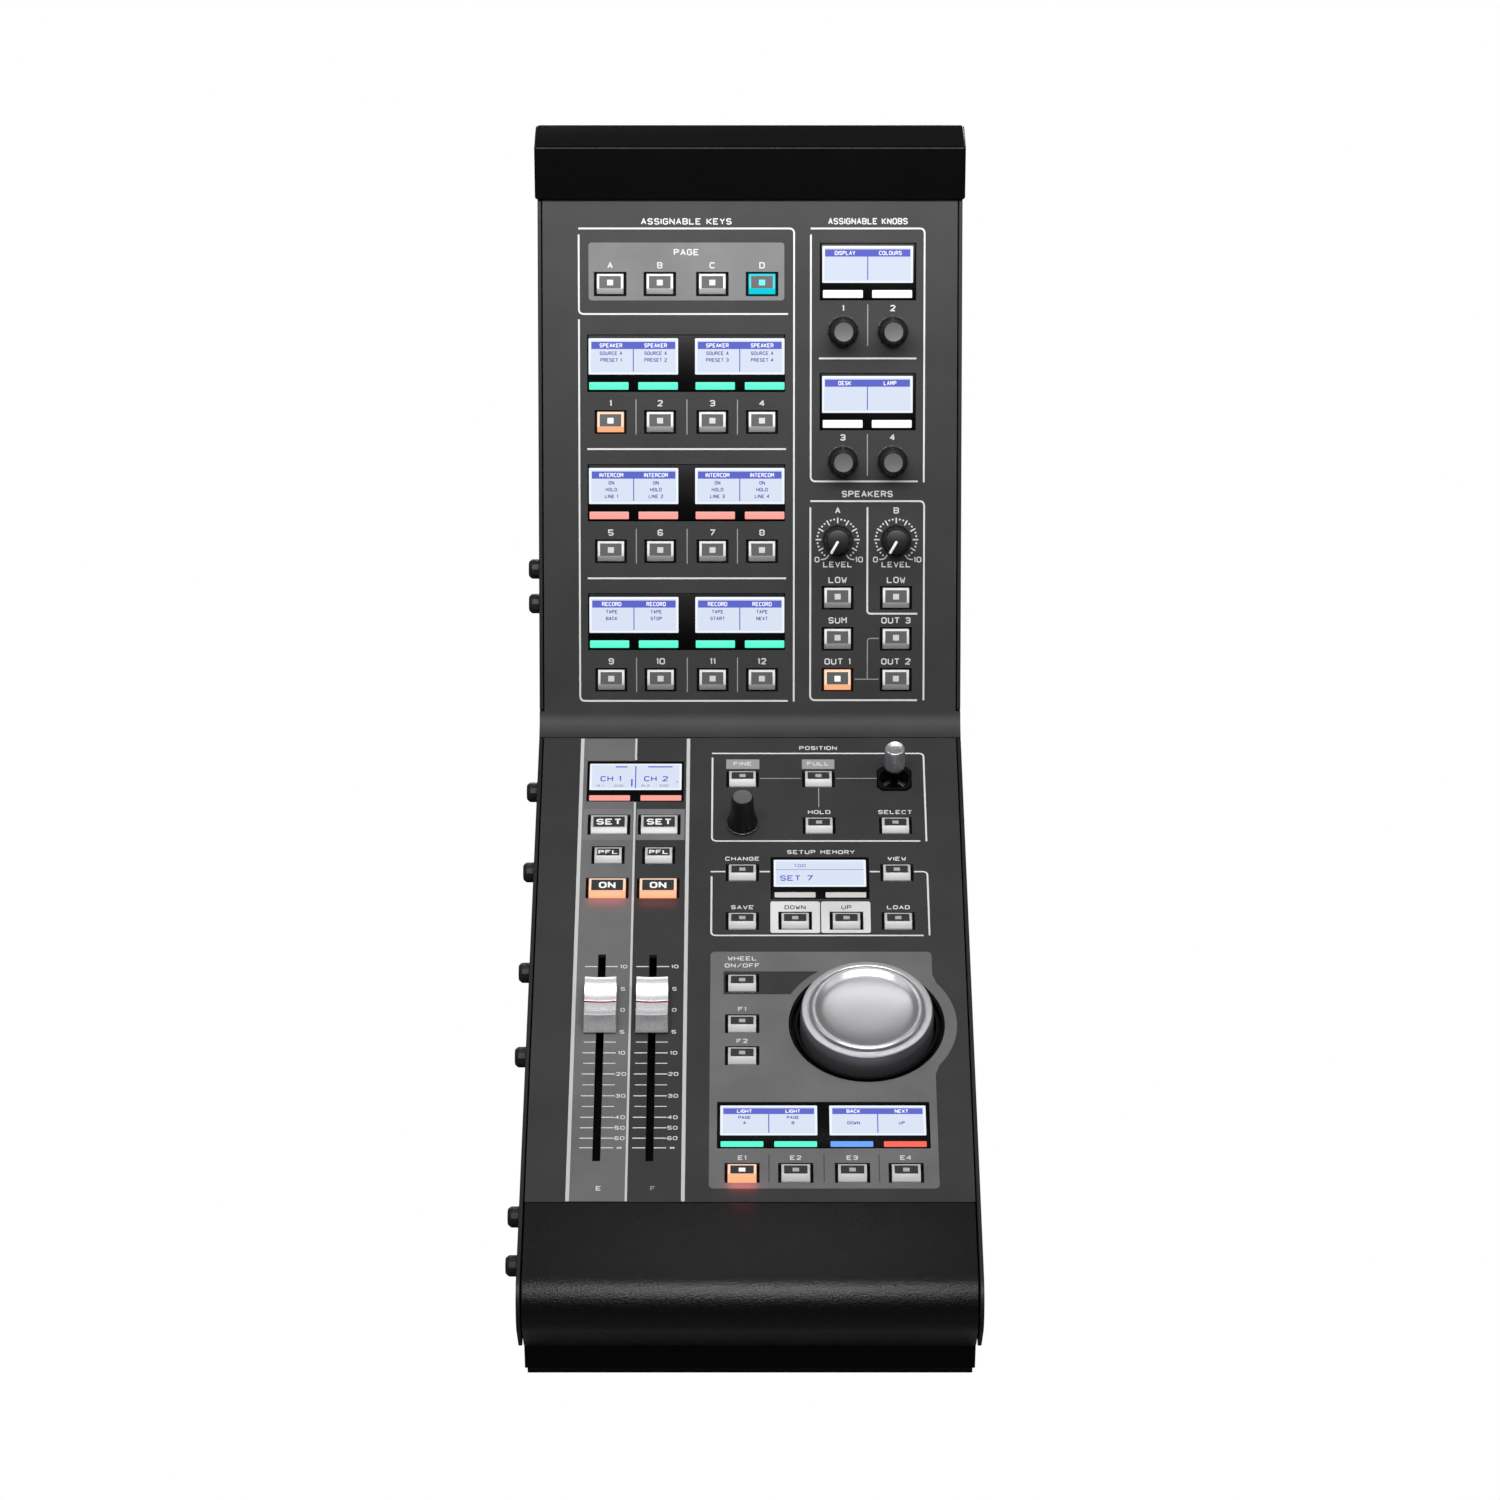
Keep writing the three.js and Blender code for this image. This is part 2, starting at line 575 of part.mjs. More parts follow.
// a cap that rises to a crest behind its sloped front facet, made around its own centre
function keyCap({ cap: [width, depth], front, crest, back }) {
  const half = depth / 2;
  const outline = [
    [half, FLANGE.top - 0.1],
    [half, back],
    [SKIRT - half, crest],
    [-half, front],
    [-half, FLANGE.top - 0.1],
  ];
  return acrossBody(outline, [-width / 2, width / 2]);
}

function keyGeometry(size) {
  const [width, depth] = size.opening.map((side) => side + 2 * FLANGE.overhang);
  return join(
    keyCap(size),
    centredBlock(0, 0, width, depth, [FLANGE.top - FLANGE.thickness, FLANGE.top]),
    post(0, 0, STEM.radius, [STEM.bottom, FLANGE.top - 0.2], 8),
  );
}

// four keys on one moulded web
function keyStripGeometry(columns) {
  const pieces = columns.map((x) => keyGeometry(KEY).translate(x, 0, 0));
  const half = STRIP_WEB.depth / 2;
  const heights = [STRIP_WEB.top - STRIP_WEB.thickness, STRIP_WEB.top];
  const web = block([columns[0], columns[3]], [-half, half], heights);
  return join(...pieces, web);
}

function addKeys(parent, keys, strips) {
  for (const { name, x, y, size = KEY } of keys) add(parent, name, keyGeometry(size), "key", [x, y, 0]);
  for (const { name, columns, y } of strips) add(parent, name, keyStripGeometry(columns), "key", [0, y, 0]);
}

// ---------------------------------------------------------------- knobs

// a skirted knob with a round shaft through the panel
function knobGeometry({ skirt, body, height, top }) {
  return turned([
    [0, KNOB_SHAFT.bottom],
    [KNOB_SHAFT.radius, KNOB_SHAFT.bottom],
    [KNOB_SHAFT.radius, 0.4],
    [skirt, 0.4],
    [skirt, 2.2],
    [body + 0.4, 5.6],
    [body, height - 0.8],
    [top, height],
    [0, height],
  ]);
}

const ENCODER_KNOB = { skirt: 6.4, body: 4.7, height: 18.2, top: 4.2 };
const LEVEL_KNOB = { skirt: 6.5, body: 5, height: 12, top: 4.6 };

function addKnobs() {
  for (const { name, x, y } of ENCODERS) add(upper, name, knobGeometry(ENCODER_KNOB), "knob", [x, y, 0]);
  for (const { name, x, y } of LEVEL_KNOBS) add(upper, name, knobGeometry(LEVEL_KNOB), "knob", [x, y, 0]);
  add(lower, PAN_KNOB.name, knobGeometry(ENCODER_KNOB), "knob", [PAN_KNOB.x, PAN_KNOB.y, 0]);
}

// ---------------------------------------------------------------- faders

const FADER_CAP = { width: 13.3, half: 13.4, crest: 10.8, crestZ: 8.8, middleZ: 5.4, floor: 0.9 };
const FADER_TONGUE = { width: 1.4, length: 7.4, bottom: -11 };
const FADER_FRAME = { width: 12, length: 134, top: -SHEET - 1, bottom: -15, slot: 3.4, slotLength: 118 };

// a saddle: low in the middle, a crest at each end
function faderCapGeometry() {
  const { width, half, crest, crestZ, middleZ, floor } = FADER_CAP;
  const shape = new THREE.Shape();
  shape.moveTo(-half, floor);
  shape.lineTo(half, floor);
  shape.lineTo(crest, crestZ);
  shape.bezierCurveTo(crest - 4, crestZ, 5, middleZ, 0, middleZ);
  shape.bezierCurveTo(-5, middleZ, 4 - crest, crestZ, -crest, crestZ);
  const points = shape.getPoints(6).map(({ x, y }) => [x, y]);
  const cap = acrossBody(points, [-width / 2, width / 2]);
  const { width: w, length, bottom } = FADER_TONGUE;
  return join(cap, centredBlock(0, 0, w, length, [bottom, floor + 0.5]));
}

function faderFramesGeometry() {
  const { width, length, top, bottom, slot, slotLength } = FADER_FRAME;
  const middle = (FADER_SLOT.top + FADER_SLOT.bottom) / 2;
  const channels = FADER_X.map((x) =>
    cut(
      centredBlock(x, middle, width, length, [bottom, top]),
      centredBlock(x, middle, slot, slotLength, [bottom + 2, top + 1]),
    ),
  );
  const bridge = block([FADER_X[0], FADER_X[1]], [middle - 20, middle + 20], [bottom, bottom + 1.6]);
  return join(...channels, bridge);
}

function addFaders() {
  FADER_X.forEach((x, i) => {
    add(lower, `fader_knob_${i + 1}`, faderCapGeometry(), "silver", [x, FADER_ZERO_Y, 0]);
  });
  add(lower, "fader_frames", faderFramesGeometry(), "steel");
}

// ---------------------------------------------------------------- jog wheel and joystick

const JOG_HOUSING = {
  outer: 31.4,
  collar: 29.2,
  collarInner: 28.2,
  lip: -0.9,
  trench: -5,
  floor: -7,
  base: -13,
};
const JOG_SPINDLE = { radius: 4, bottom: -11.6, bore: 4.5 };

function jogHousingGeometry() {
  const { outer, collar, collarInner, lip, trench, floor, base } = JOG_HOUSING;
  const { bore } = JOG_SPINDLE;
  const profile = [
    [bore, base], [outer + 1, base], [outer + 1, -SHEET - GAP], [outer, -SHEET - GAP], [outer, lip],
    [outer - 0.6, lip], [outer - 0.6, trench], [collar, trench], [collar, lip], [collarInner, lip],
    [collarInner, floor], [bore, floor], [bore, base],
  ];
  return turned(profile, WHEEL_STEPS);
}

function jogWheelGeometry() {
  const { wheel, rim } = JOG;
  const profile = [
    [0, JOG_SPINDLE.bottom], [JOG_SPINDLE.radius, JOG_SPINDLE.bottom], [JOG_SPINDLE.radius, -5.4],
    [wheel - 0.5, -5.4], [wheel - 0.5, -4.6], [wheel, -4], [wheel, rim - 0.9], [wheel - 0.8, rim],
    [24.4, rim - 0.2], [23.7, rim + 1.2], [22.3, rim + 1.7], [20.8, rim + 1.2],
    [17, rim + 0.2], [9, rim - 0.9], [0, rim - 1.3],
  ];
  return turned(profile, WHEEL_STEPS);
}

const GIMBAL = { outer: 6.4, inner: 4.6, half: 1.1 };
const STICK_HOUSING = { half: 10.5, cavity: 8.2, floor: -17, base: -18.5, collarTop: 0.6, mouth: 6.2 };

function joystickHousingGeometry() {
  const { half, cavity, floor, base, collarTop, mouth } = STICK_HOUSING;
  const { x, y } = JOYSTICK;
  return cut(
    join(
      plate(joystickOutline(STICK_PLATE, STICK_CHAMFER), [-SHEET - 2, collarTop]),
      centredBlock(x, y, 2 * half, 2 * half, [base, -SHEET - GAP]),
    ),
    post(x, y, cavity, [floor, -SHEET - 1.4]),
    post(x, y, mouth, [floor, collarTop + 1]),
  );
}

// a ring that tilts front to back and carries the stick
function gimbalGeometry() {
  const { outer, inner, half } = GIMBAL;
  return turned([[inner, -half], [outer, -half], [outer, half], [inner, half], [inner, -half]]);
}

// the stick, made around its pivot
function stickGeometry() {
  const { pivot, neck, cap, capFrom, capTo } = STICK;
  const lift = -pivot;
  return turned([
    [0, -3.4], [2.4, -3.4], [4, -1.6], [4, 1.6], [neck, 3.4], [neck, lift + capFrom - 1.6],
    [cap - 0.5, lift + capFrom - 0.6], [cap, lift + capFrom], [cap, lift + capTo - 0.9],
    [cap - 0.9, lift + capTo], [0, lift + capTo + 0.3],
  ]);
}

function addJogAndJoystick() {
  add(lower, "jog_housing", jogHousingGeometry(), "plastic", [JOG.x, JOG.y, 0]);
  add(lower, "jog_wheel", jogWheelGeometry(), "metal", [JOG.x, JOG.y, 0]);
  add(lower, "joystick_housing", joystickHousingGeometry(), "plastic");
  add(lower, "joystick_gimbal", gimbalGeometry(), "steel", [JOYSTICK.x, JOYSTICK.y, STICK.pivot]);
  add(lower, "joystick_stick", stickGeometry(), "metal", [JOYSTICK.x, JOYSTICK.y, STICK.pivot]);
}

// ---------------------------------------------------------------- circuit boards

const SWITCH = { size: 6, height: 0.6 };

function switches(places) {
  return places.map(({ x, y }) =>
    centredBlock(x, y, SWITCH.size, SWITCH.size, [BOARD.top - 0.3, BOARD.top + SWITCH.height]),
  );
}

// each rotary control turns in a square body that stands on the board
function controlBodies(knobs) {
  const { size, top, bore } = ENCODER_BODY;
  return knobs.map(({ x, y }) =>
    cut(centredBlock(x, y, size, size, [BOARD.top - 0.3, top]), post(x, y, bore, [BOARD.top + 0.2, top + 1])),
  );
}

function addPanelBoards() {
  const range = [BOARD.top - BOARD.thickness, BOARD.top];
  const upperBoard = block(UPPER_BOARD.x, UPPER_BOARD.y, range);
  const knobs = [...ENCODERS, ...LEVEL_KNOBS];
  const parts = [...switches(keyPlaces(UPPER_KEYS, UPPER_STRIPS)), ...controlBodies(knobs)];
  add(upper, "upper_circuit_board", join(upperBoard, ...parts), "board");

  const { left, shelfLeft, right, back, shelf, front } = LOWER_BOARD;
  const leftSide = [[left, back], [left, shelf], [shelfLeft, shelf], [shelfLeft, front]];
  const clearance = 2 * (STICK_HOUSING.half + 1);
  const lowerBoard = cut(
    plate([...leftSide, [right, front], [right, back]], range),
    post(JOG.x, JOG.y, JOG_HOUSING.outer + 2, [range[0] - 1, range[1] + 1], WHEEL_STEPS),
    centredBlock(JOYSTICK.x, JOYSTICK.y, clearance, clearance, [range[0] - 1, range[1] + 1]),
  );
  const lowerParts = [...switches(keyPlaces(LOWER_KEYS, LOWER_STRIPS)), ...controlBodies([PAN_KNOB])];
  add(lower, "lower_circuit_board", join(lowerBoard, ...lowerParts), "board");
}

// the main board stands on posts in the rear of the tray and carries the rear sockets; each
// socket is cut back below so that it clears the connector panel
function mainBoardGeometry() {
  const { halfWidth, front, rearGap, z: [z0, z1], postRadius, postX } = MAIN_BOARD;
  const rear = REAR_Y - rearGap;
  const board = block([-halfWidth, halfWidth], [front, rear], [z0, z1]);
  const postEnds = [TRAY.floor + TRAY.wall + GAP, z0 + 0.4];
  const posts = [front + 10, rear - 10].flatMap((y) =>
    [-postX, postX].map((x) => post(x, y, postRadius, postEnds, 8)),
  );
  const supply = block(POWER_SUPPLY.x, POWER_SUPPLY.y, [z1 - 0.3, POWER_SUPPLY.top]);
  const heatsink = block(HEATSINK.x, HEATSINK.y, [z1 - 0.3, HEATSINK.top]);
  const sockets = REAR_SOCKETS.map((socket) => {
    const { x, width, depth, z, height } = socket;
    const half = width / 2 + SOCKET_WALL;
    const top = z + height / 2 + SOCKET_WALL;
    const body = block([x - half, x + half], [rear - depth, REAR_Y - GAP], [z1 - 0.3, top]);
    return cut(body, socketHole(socket, 0, [REAR_Y - depth, REAR_Y + 1]));
  });
  const skirts = REAR_SOCKETS.map(({ x, width, z, height }) => {
    const half = width / 2 + SOCKET_WALL + 1;
    return block([x - half, x + half], [REAR_Y - 4, REAR_Y + 1], [z1 - 1, z - height / 2 - SOCKET_WALL]);
  });
  return cut(join(board, ...posts, supply, heatsink, ...sockets), ...skirts);
}

// ---------------------------------------------------------------- assembly

add(upper, "upper_panel", upperPanelGeometry(), "panel");
add(lower, "lower_panel", lowerPanelGeometry(), "panel");
addSidePlates();
add(desk, "armrest", armrestGeometry(), "leather");
add(desk, "chassis_tray", trayGeometry(), "cover");
add(desk, "rear_panel", rearPanelGeometry(), "cover");
add(desk, "top_cap", capGeometry(), "cover");
add(desk, "front_foot", footGeometry(TRAY.front + FOOT.depth / 2), "rubber");
add(desk, "rear_foot", footGeometry(TRAY.rear - FOOT.depth), "rubber");
addLenses();
addKeys(upper, UPPER_KEYS, UPPER_STRIPS);
addKeys(lower, LOWER_KEYS, LOWER_STRIPS);
addKnobs();
addFaders();
addJogAndJoystick();
addPanelBoards();
add(desk, "main_board", mainBoardGeometry(), "board");

export default desk;
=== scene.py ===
"""Looks of a narrow fader and monitor console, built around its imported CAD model.

Shapes are written in millimetres. A place on a panel is x, y in that panel's plane: y is the
distance up the slope from the valley line, so the front panel's places have a negative y, and
z is the height above the panel's surface.
"""

import math

import bmesh
import bpy
from mathutils import Matrix, Vector


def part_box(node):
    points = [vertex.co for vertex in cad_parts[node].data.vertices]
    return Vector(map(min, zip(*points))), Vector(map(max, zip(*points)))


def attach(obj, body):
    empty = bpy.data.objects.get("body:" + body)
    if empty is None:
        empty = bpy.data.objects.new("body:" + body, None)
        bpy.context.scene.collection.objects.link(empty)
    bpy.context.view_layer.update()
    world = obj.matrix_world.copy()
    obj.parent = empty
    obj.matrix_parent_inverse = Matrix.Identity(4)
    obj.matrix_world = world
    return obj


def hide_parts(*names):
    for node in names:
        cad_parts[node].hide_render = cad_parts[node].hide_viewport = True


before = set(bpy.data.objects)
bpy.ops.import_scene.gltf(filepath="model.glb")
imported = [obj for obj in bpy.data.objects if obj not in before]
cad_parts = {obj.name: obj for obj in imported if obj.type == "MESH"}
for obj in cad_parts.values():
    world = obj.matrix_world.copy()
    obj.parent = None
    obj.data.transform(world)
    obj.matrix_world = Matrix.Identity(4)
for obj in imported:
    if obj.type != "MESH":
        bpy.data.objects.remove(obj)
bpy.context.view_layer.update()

# --- driving dimensions

MM = 0.001
VALLEY = (32.5, 101.0)  # y and z of the line in which the two panels' planes meet
LOWER_SLOPE = math.radians(9.25)
UPPER_SLOPE = math.radians(61.0)
LOWER_LENGTH = 269.4

# four keys in a row stand in two pairs
MODULE = 21.9  # from the row's middle to a pair's middle
COLUMN = 10.65  # from a pair's middle to a key's middle
ROW_PITCH = 55.65

# opening and cap: width and depth; front, crest, back: the cap's heights along its depth
KEY = {"opening": (13.8, 10.2), "cap": (11.4, 8.7), "front": -0.25, "crest": 1.7, "back": 0.25}
WIDE_KEY = {"opening": (17.9, 11.8), "cap": (15.4, 10.3), "front": -0.15, "crest": 1.35, "back": 0.5}
KEY_OPENING = KEY["opening"]
DISPLAY = (41.3, 24.6)
WIDE_DISPLAY = (85, 24.6)

LABEL = 2.7  # height of the capitals
SMALL_LABEL = 2.3
LINE = 0.75
THIN_LINE = 0.42
CORNER = 2.2  # radius of the printed frames' corners
PRINT = 0.05  # the print's thickness
PLATE = 0.03  # the printed areas' thickness

USER_X = -27.4
KNOB_X = 50.6
MONITOR_X = (37.8, 63.0)
CHANNEL_X = (-59.8, -38.5)
FADER_X = (-61.1, -40.0)
FADER_ZERO = -166.6
PANNER_X = (-3.2, 29.3, 61.7)
PANNER_Y = -31.9
E_X = 29.4
E_DISPLAY_Y = -229.2
CHANNEL_DISPLAY = (-49, -33.4)
JOG = (47.6, -174.3)
JOG_OPENING = 31.8


def panel_matrix(slope):
    place = Matrix.Translation((0, VALLEY[0] * MM, VALLEY[1] * MM))
    return place @ Matrix.Rotation(slope, 4, "X")


UPPER = panel_matrix(UPPER_SLOPE)
LOWER = panel_matrix(LOWER_SLOPE)
DESK = Matrix.Identity(4)


def on_panel(panel, x, y, z=0.0):
    return panel @ Matrix.Translation((x * MM, y * MM, z * MM))


def four_columns(x):
    return [x + side * MODULE + half * COLUMN for side in (-1, 1) for half in (-1, 1)]


# --- materials


def srgb(red, green, blue):
    def linear(value):
        value /= 255
        return value / 12.92 if value <= 0.04045 else ((value + 0.055) / 1.055) ** 2.4

    return (linear(red), linear(green), linear(blue), 1.0)


def grey(level):
    """A neutral colour, a touch cool."""
    return srgb(level, level, level + 1)


def shade(color, factor):
    return (color[0] * factor, color[1] * factor, color[2] * factor, 1.0)


def feed(tree, node, inputs):
    """Fills a node's inputs, each with a value or with the output that it's linked to."""
    for name, value in inputs.items():
        if isinstance(value, bpy.types.NodeSocket):
            tree.links.new(value, node.inputs[name])
        else:
            node.inputs[name].default_value = value
    return node


def add_node(tree, kind, inputs):
    return feed(tree, tree.nodes.new("ShaderNode" + kind), inputs)


def add_math(tree, operation, *values):
    node = tree.nodes.new("ShaderNodeMath")
    node.operation = operation
    return feed(tree, node, dict(enumerate(values))).outputs["Value"]


def new_material(name, color, roughness, metallic, specular=0.5):
    """Returns a plain material, its node tree and its shader."""
    material = bpy.data.materials.new(name)
    material.use_nodes = True
    material.diffuse_color = color
    tree = material.node_tree
    inputs = {"Base Color": color, "Roughness": roughness, "Metallic": metallic}
    inputs["Specular IOR Level"] = specular
    return material, tree, feed(tree, tree.nodes["Principled BSDF"], inputs)


def object_place(tree, scale=(1, 1, 1)):
    place = add_node(tree, "TexCoord", {})
    return add_node(tree, "Mapping", {"Scale": scale, "Vector": place.outputs["Object"]}).outputs["Vector"]


def noise_texture(tree, vector, scale, detail=3.0, roughness=0.55):
    inputs = {"Scale": scale, "Detail": detail, "Roughness": roughness, "Vector": vector}
    return add_node(tree, "TexNoise", inputs).outputs["Fac"]


def bump(tree, shader, height, strength, distance):
    node = add_node(tree, "Bump", {"Strength": strength, "Distance": distance, "Height": height})
    feed(tree, shader, {"Normal": node.outputs["Normal"]})


def vary_roughness(tree, shader, source, low, high):
    inputs = {"From Min": 0.3, "From Max": 0.7, "To Min": low, "To Max": high, "Value": source}
    feed(tree, shader, {"Roughness": add_node(tree, "MapRange", inputs).outputs["Result"]})


def tint(tree, shader, source, dark, light):
    """Blends the shader's colour between two colours by a texture."""
    node = add_node(tree, "ValToRGB", {"Fac": source})
    for stop, position, color in zip(node.color_ramp.elements, (0.3, 0.7), (dark, light)):
        stop.position = position
        stop.color = color
    feed(tree, shader, {"Base Color": node.outputs["Color"]})


def painted(name, color, roughness, grain, depth, specular, spread=0.12):
    """Fine-textured paint or moulded plastic: a small even grain in height, gloss and colour."""
    material, tree, shader = new_material(name, color, roughness, 0.0, specular)
    vector = object_place(tree)
    fine = noise_texture(tree, vector, grain)
    broad = noise_texture(tree, vector, 35, 4.0)
    tint(tree, shader, broad, shade(color, 1 - spread), shade(color, 1 + spread))
    vary_roughness(tree, shader, fine, roughness - 0.06, roughness + 0.06)
    bump(tree, shader, fine, depth, 0.00006)
    return material


def inked(name, level, roughness=0.55, grain=2600, specular=0.2):
    return painted(name, grey(level), roughness, grain, 0.05, specular, 0.03)


def leather(name, color):
    """Grained covering: shallow pebbles, stretched sideways, with fine pores between them."""
    material, tree, shader = new_material(name, color, 0.5, 0.0, 0.3)
    vector = object_place(tree, (0.55, 1, 1))
    warp = add_node(tree, "TexNoise", {"Scale": 700, "Vector": vector})
    mix = tree.nodes.new("ShaderNodeMix")
    mix.data_type = "VECTOR"
    feed(tree, mix, {"Factor": 0.0008, "A": vector, "B": warp.outputs["Color"]})
    cells = tree.nodes.new("ShaderNodeTexVoronoi")
    cells.feature = "SMOOTH_F1"
    feed(tree, cells, {"Scale": 1500, "Smoothness": 0.6, "Vector": mix.outputs["Result"]})
    pores = noise_texture(tree, vector, 2400, 4.0, 0.7)
    height = add_math(tree, "MULTIPLY_ADD", cells.outputs["Distance"], 0.7, pores)
    vary_roughness(tree, shader, pores, 0.3, 0.38)
    tint(tree, shader, height, shade(color, 0.55), shade(color, 1.9))
    bump(tree, shader, height, 0.6, 0.0002)
    return material


def turned_metal(name, color, roughness, metallic=1.0):
    """Metal finished on a lathe: hairlines run round the piece's own z axis."""
    material, tree, shader = new_material(name, color, roughness, metallic)
    place = add_node(tree, "TexCoord", {})
    parts = add_node(tree, "SeparateXYZ", {"Vector": place.outputs["Object"]}).outputs
    squares = [add_math(tree, "MULTIPLY", parts[axis], parts[axis]) for axis in "XY"]
    radius = add_math(tree, "SQRT", add_math(tree, "ADD", *squares))
    rings = add_node(tree, "CombineXYZ", {"X": radius, "Y": parts["Z"]})
    lines = noise_texture(tree, rings.outputs["Vector"], 9000, 2.0)
    vary_roughness(tree, shader, lines, roughness - 0.05, roughness + 0.09)
    bump(tree, shader, lines, 0.12, 0.00002)
    return material


def lit(name, red, green, blue):
    """A translucent moulding or a display that glows evenly, with a faint mottle in its surface."""
    color = srgb(red, green, blue)
    material, tree, shader = new_material(name, shade(color, 0.06), 0.35, 0.0, 0.15)
    fine = noise_texture(tree, object_place(tree), 1800)
    vary_roughness(tree, shader, fine, 0.3, 0.4)
    feed(tree, shader, {"Emission Color": color, "Emission Strength": 1.0})
    return material


PANEL_PAINT = painted("panel_paint", grey(43), 0.5, 2300, 0.2, 0.18)
STRIP_PAINT = painted("strip_paint", grey(88), 0.5, 2300, 0.2, 0.22)
PLATE_PAINT = painted("plate_paint", grey(98), 0.5, 2300, 0.2, 0.22)
PALE_PAINT = painted("pale_paint", grey(182), 0.5, 2300, 0.15, 0.22)
COVER_PAINT = painted("cover_paint", srgb(4, 4, 4), 0.34, 1500, 0.6, 0.1)
BODY_PAINT = painted("body_paint", grey(22), 0.5, 1500, 0.5, 0.25)
INK = inked("ink", 184)
STRIPE_INK = inked("stripe_ink", 166)
DULL_INK = inked("dull_ink", 128)
DARK_INK = inked("dark_ink", 58)
ARMREST = leather("armrest_leather", srgb(2, 2, 2))
RUBBER = painted("rubber", srgb(10, 10, 10), 0.75, 900, 0.4, 0.1)
BLACK = painted("black_plastic", srgb(6, 6, 6), 0.6, 1700, 0.3, 0.1)
GLOSS_BLACK = painted("display_lens", grey(5), 0.3, 1700, 0.01, 0.06)
KNOB_BLACK = painted("knob_rubber", srgb(12, 12, 12), 0.42, 1500, 0.25, 0.35)
KNOB_GREY = painted("knob_disc", grey(76), 0.45, 2300, 0.15, 0.4)
# the knobs' foot ring: its grey is a painted highlight where the skirt's lower edge catches the light
KNOB_FOOT_HIGHLIGHT = painted("knob_foot_highlight", grey(60), 0.4, 2300, 0.15, 0.5)
KEY_WORD = inked("key_word", 214, 0.4, 1900, 0.4)
KEY_PALE = painted("key_cap", grey(168), 0.35, 1900, 0.06, 0.5, 0.03)
KEY_DARK = painted("key_top", grey(44), 0.45, 2300, 0.15, 0.25)
KEY_LAMP = inked("key_lamp", 150, 0.4, 1900, 0.4)
FADER_SILVER = painted("fader_silver", srgb(205, 205, 207), 0.3, 3000, 0.08, 0.6, 0.04)
FADER_SILVER.node_tree.nodes["Principled BSDF"].inputs["Metallic"].default_value = 0.55
FADER_RED = painted("fader_line", srgb(116, 10, 20), 0.45, 2600, 0.05, 0.3)
POINTER = painted("pointer_white", srgb(205, 205, 203), 0.4, 2600, 0.05, 0.4, 0.03)
JOG_METAL = turned_metal("jog_metal", srgb(178, 178, 180), 0.34, 0.9)
JOG_SIDE = turned_metal("jog_side", srgb(126, 126, 131), 0.36, 0.8)
STICK_METAL = turned_metal("stick_metal", srgb(186, 187, 190), 0.3, 0.85)
STEEL = turned_metal("plated_steel", srgb(150, 151, 154), 0.35)
GOLD = turned_metal("contact_gold", srgb(214, 170, 92), 0.3)
BOARD = painted("circuit_board", srgb(20, 78, 48), 0.45, 900, 0.2, 0.4, 0.25)
LCD_FRAME = lit("lcd_frame", 232, 239, 248)
LCD_FIELD = lit("lcd_field", 210, 219, 236)
LCD_BAND = lit("lcd_band", 90, 98, 196)
LCD_WORDS = lit("lcd_words", 66, 74, 156)
LCD_WHITE = lit("lcd_white", 250, 251, 255)
BAR_MINT = lit("bar_mint", 92, 250, 208)
BAR_SALMON = lit("bar_salmon", 252, 160, 150)
BAR_WHITE = lit("bar_white", 255, 255, 255)
BAR_BLUE = lit("bar_blue", 106, 162, 250)
BAR_RED = lit("bar_red", 252, 102, 88)
BAR_OFF = painted("bar_off", srgb(176, 176, 174), 0.45, 2300, 0.05, 0.3, 0.03)
ORANGE_SKIRT = lit("orange_skirt", 255, 178, 132)
ORANGE_EDGE = lit("orange_edge", 250, 214, 190)
LAMP_WHITE = lit("lamp_white", 255, 253, 250)
CYAN = lit("cyan_cap", 10, 206, 222)
CYAN_LAMP = lit("cyan_lamp", 90, 238, 246)

# --- shape helpers


def rounded(x, y, width, depth, radius=0.0, steps=5):
    """The outline of a rectangle about x, y with round corners, anticlockwise."""
    corners = [(1, 1, 0), (-1, 1, 90), (-1, -1, 180), (1, -1, 270)]
    if radius <= 0:
        return [(x + sx * width / 2, y + sy * depth / 2) for sx, sy, _ in corners]
    points = []
    for sx, sy, start in corners:
        cx = x + sx * (width / 2 - radius)
        cy = y + sy * (depth / 2 - radius)
        for i in range(steps + 1):
            angle = math.radians(start + 90 * i / steps)
            points.append((cx + radius * math.cos(angle), cy + radius * math.sin(angle)))
    return points


def span(x0, x1, y0, y1, radius=0.0):
    return rounded((x0 + x1) / 2, (y0 + y1) / 2, abs(x1 - x0), abs(y1 - y0), radius)


def circle(x, y, radius, steps=48):
    angles = [2 * math.pi * i / steps for i in range(steps)]
    return [(x + radius * math.cos(a), y + radius * math.sin(a)) for a in angles]


def arc(x, y, radius, start, end, steps=12):
    angles = [math.radians(start + (end - start) * i / steps) for i in range(steps + 1)]
    return [(x + radius * math.cos(a), y + radius * math.sin(a)) for a in angles]


def soften(points, radius):
    """An open path with each inner corner turned into an arc."""
    steps = 6
    if radius <= 0 or len(points) < 3:
        return points
    path = [points[0]]
    for before, corner, after in zip(points, points[1:], points[2:]):
        a, b, c = Vector(before), Vector(corner), Vector(after)
        start = b + (a - b).normalized() * radius
        end = b + (c - b).normalized() * radius
        for i in range(steps + 1):
            t = i / steps
            point = start * (1 - t) ** 2 + b * 2 * t * (1 - t) + end * t * t
            path.append((point.x, point.y))
    path.append(points[-1])
    return path


def normal(along):
    return Vector((-along.y, along.x))


def ribbon(points, width):
    """The outline of a line of the given width along an open path."""
    left, right = [], []
    for i, point in enumerate(points):
        before = Vector(points[max(i - 1, 0)])
        after = Vector(points[min(i + 1, len(points) - 1)])
        side = normal((after - before).normalized()) * width / 2
        left.append((point[0] + side.x, point[1] + side.y))
        right.append((point[0] - side.x, point[1] - side.y))
    return right + left[::-1]


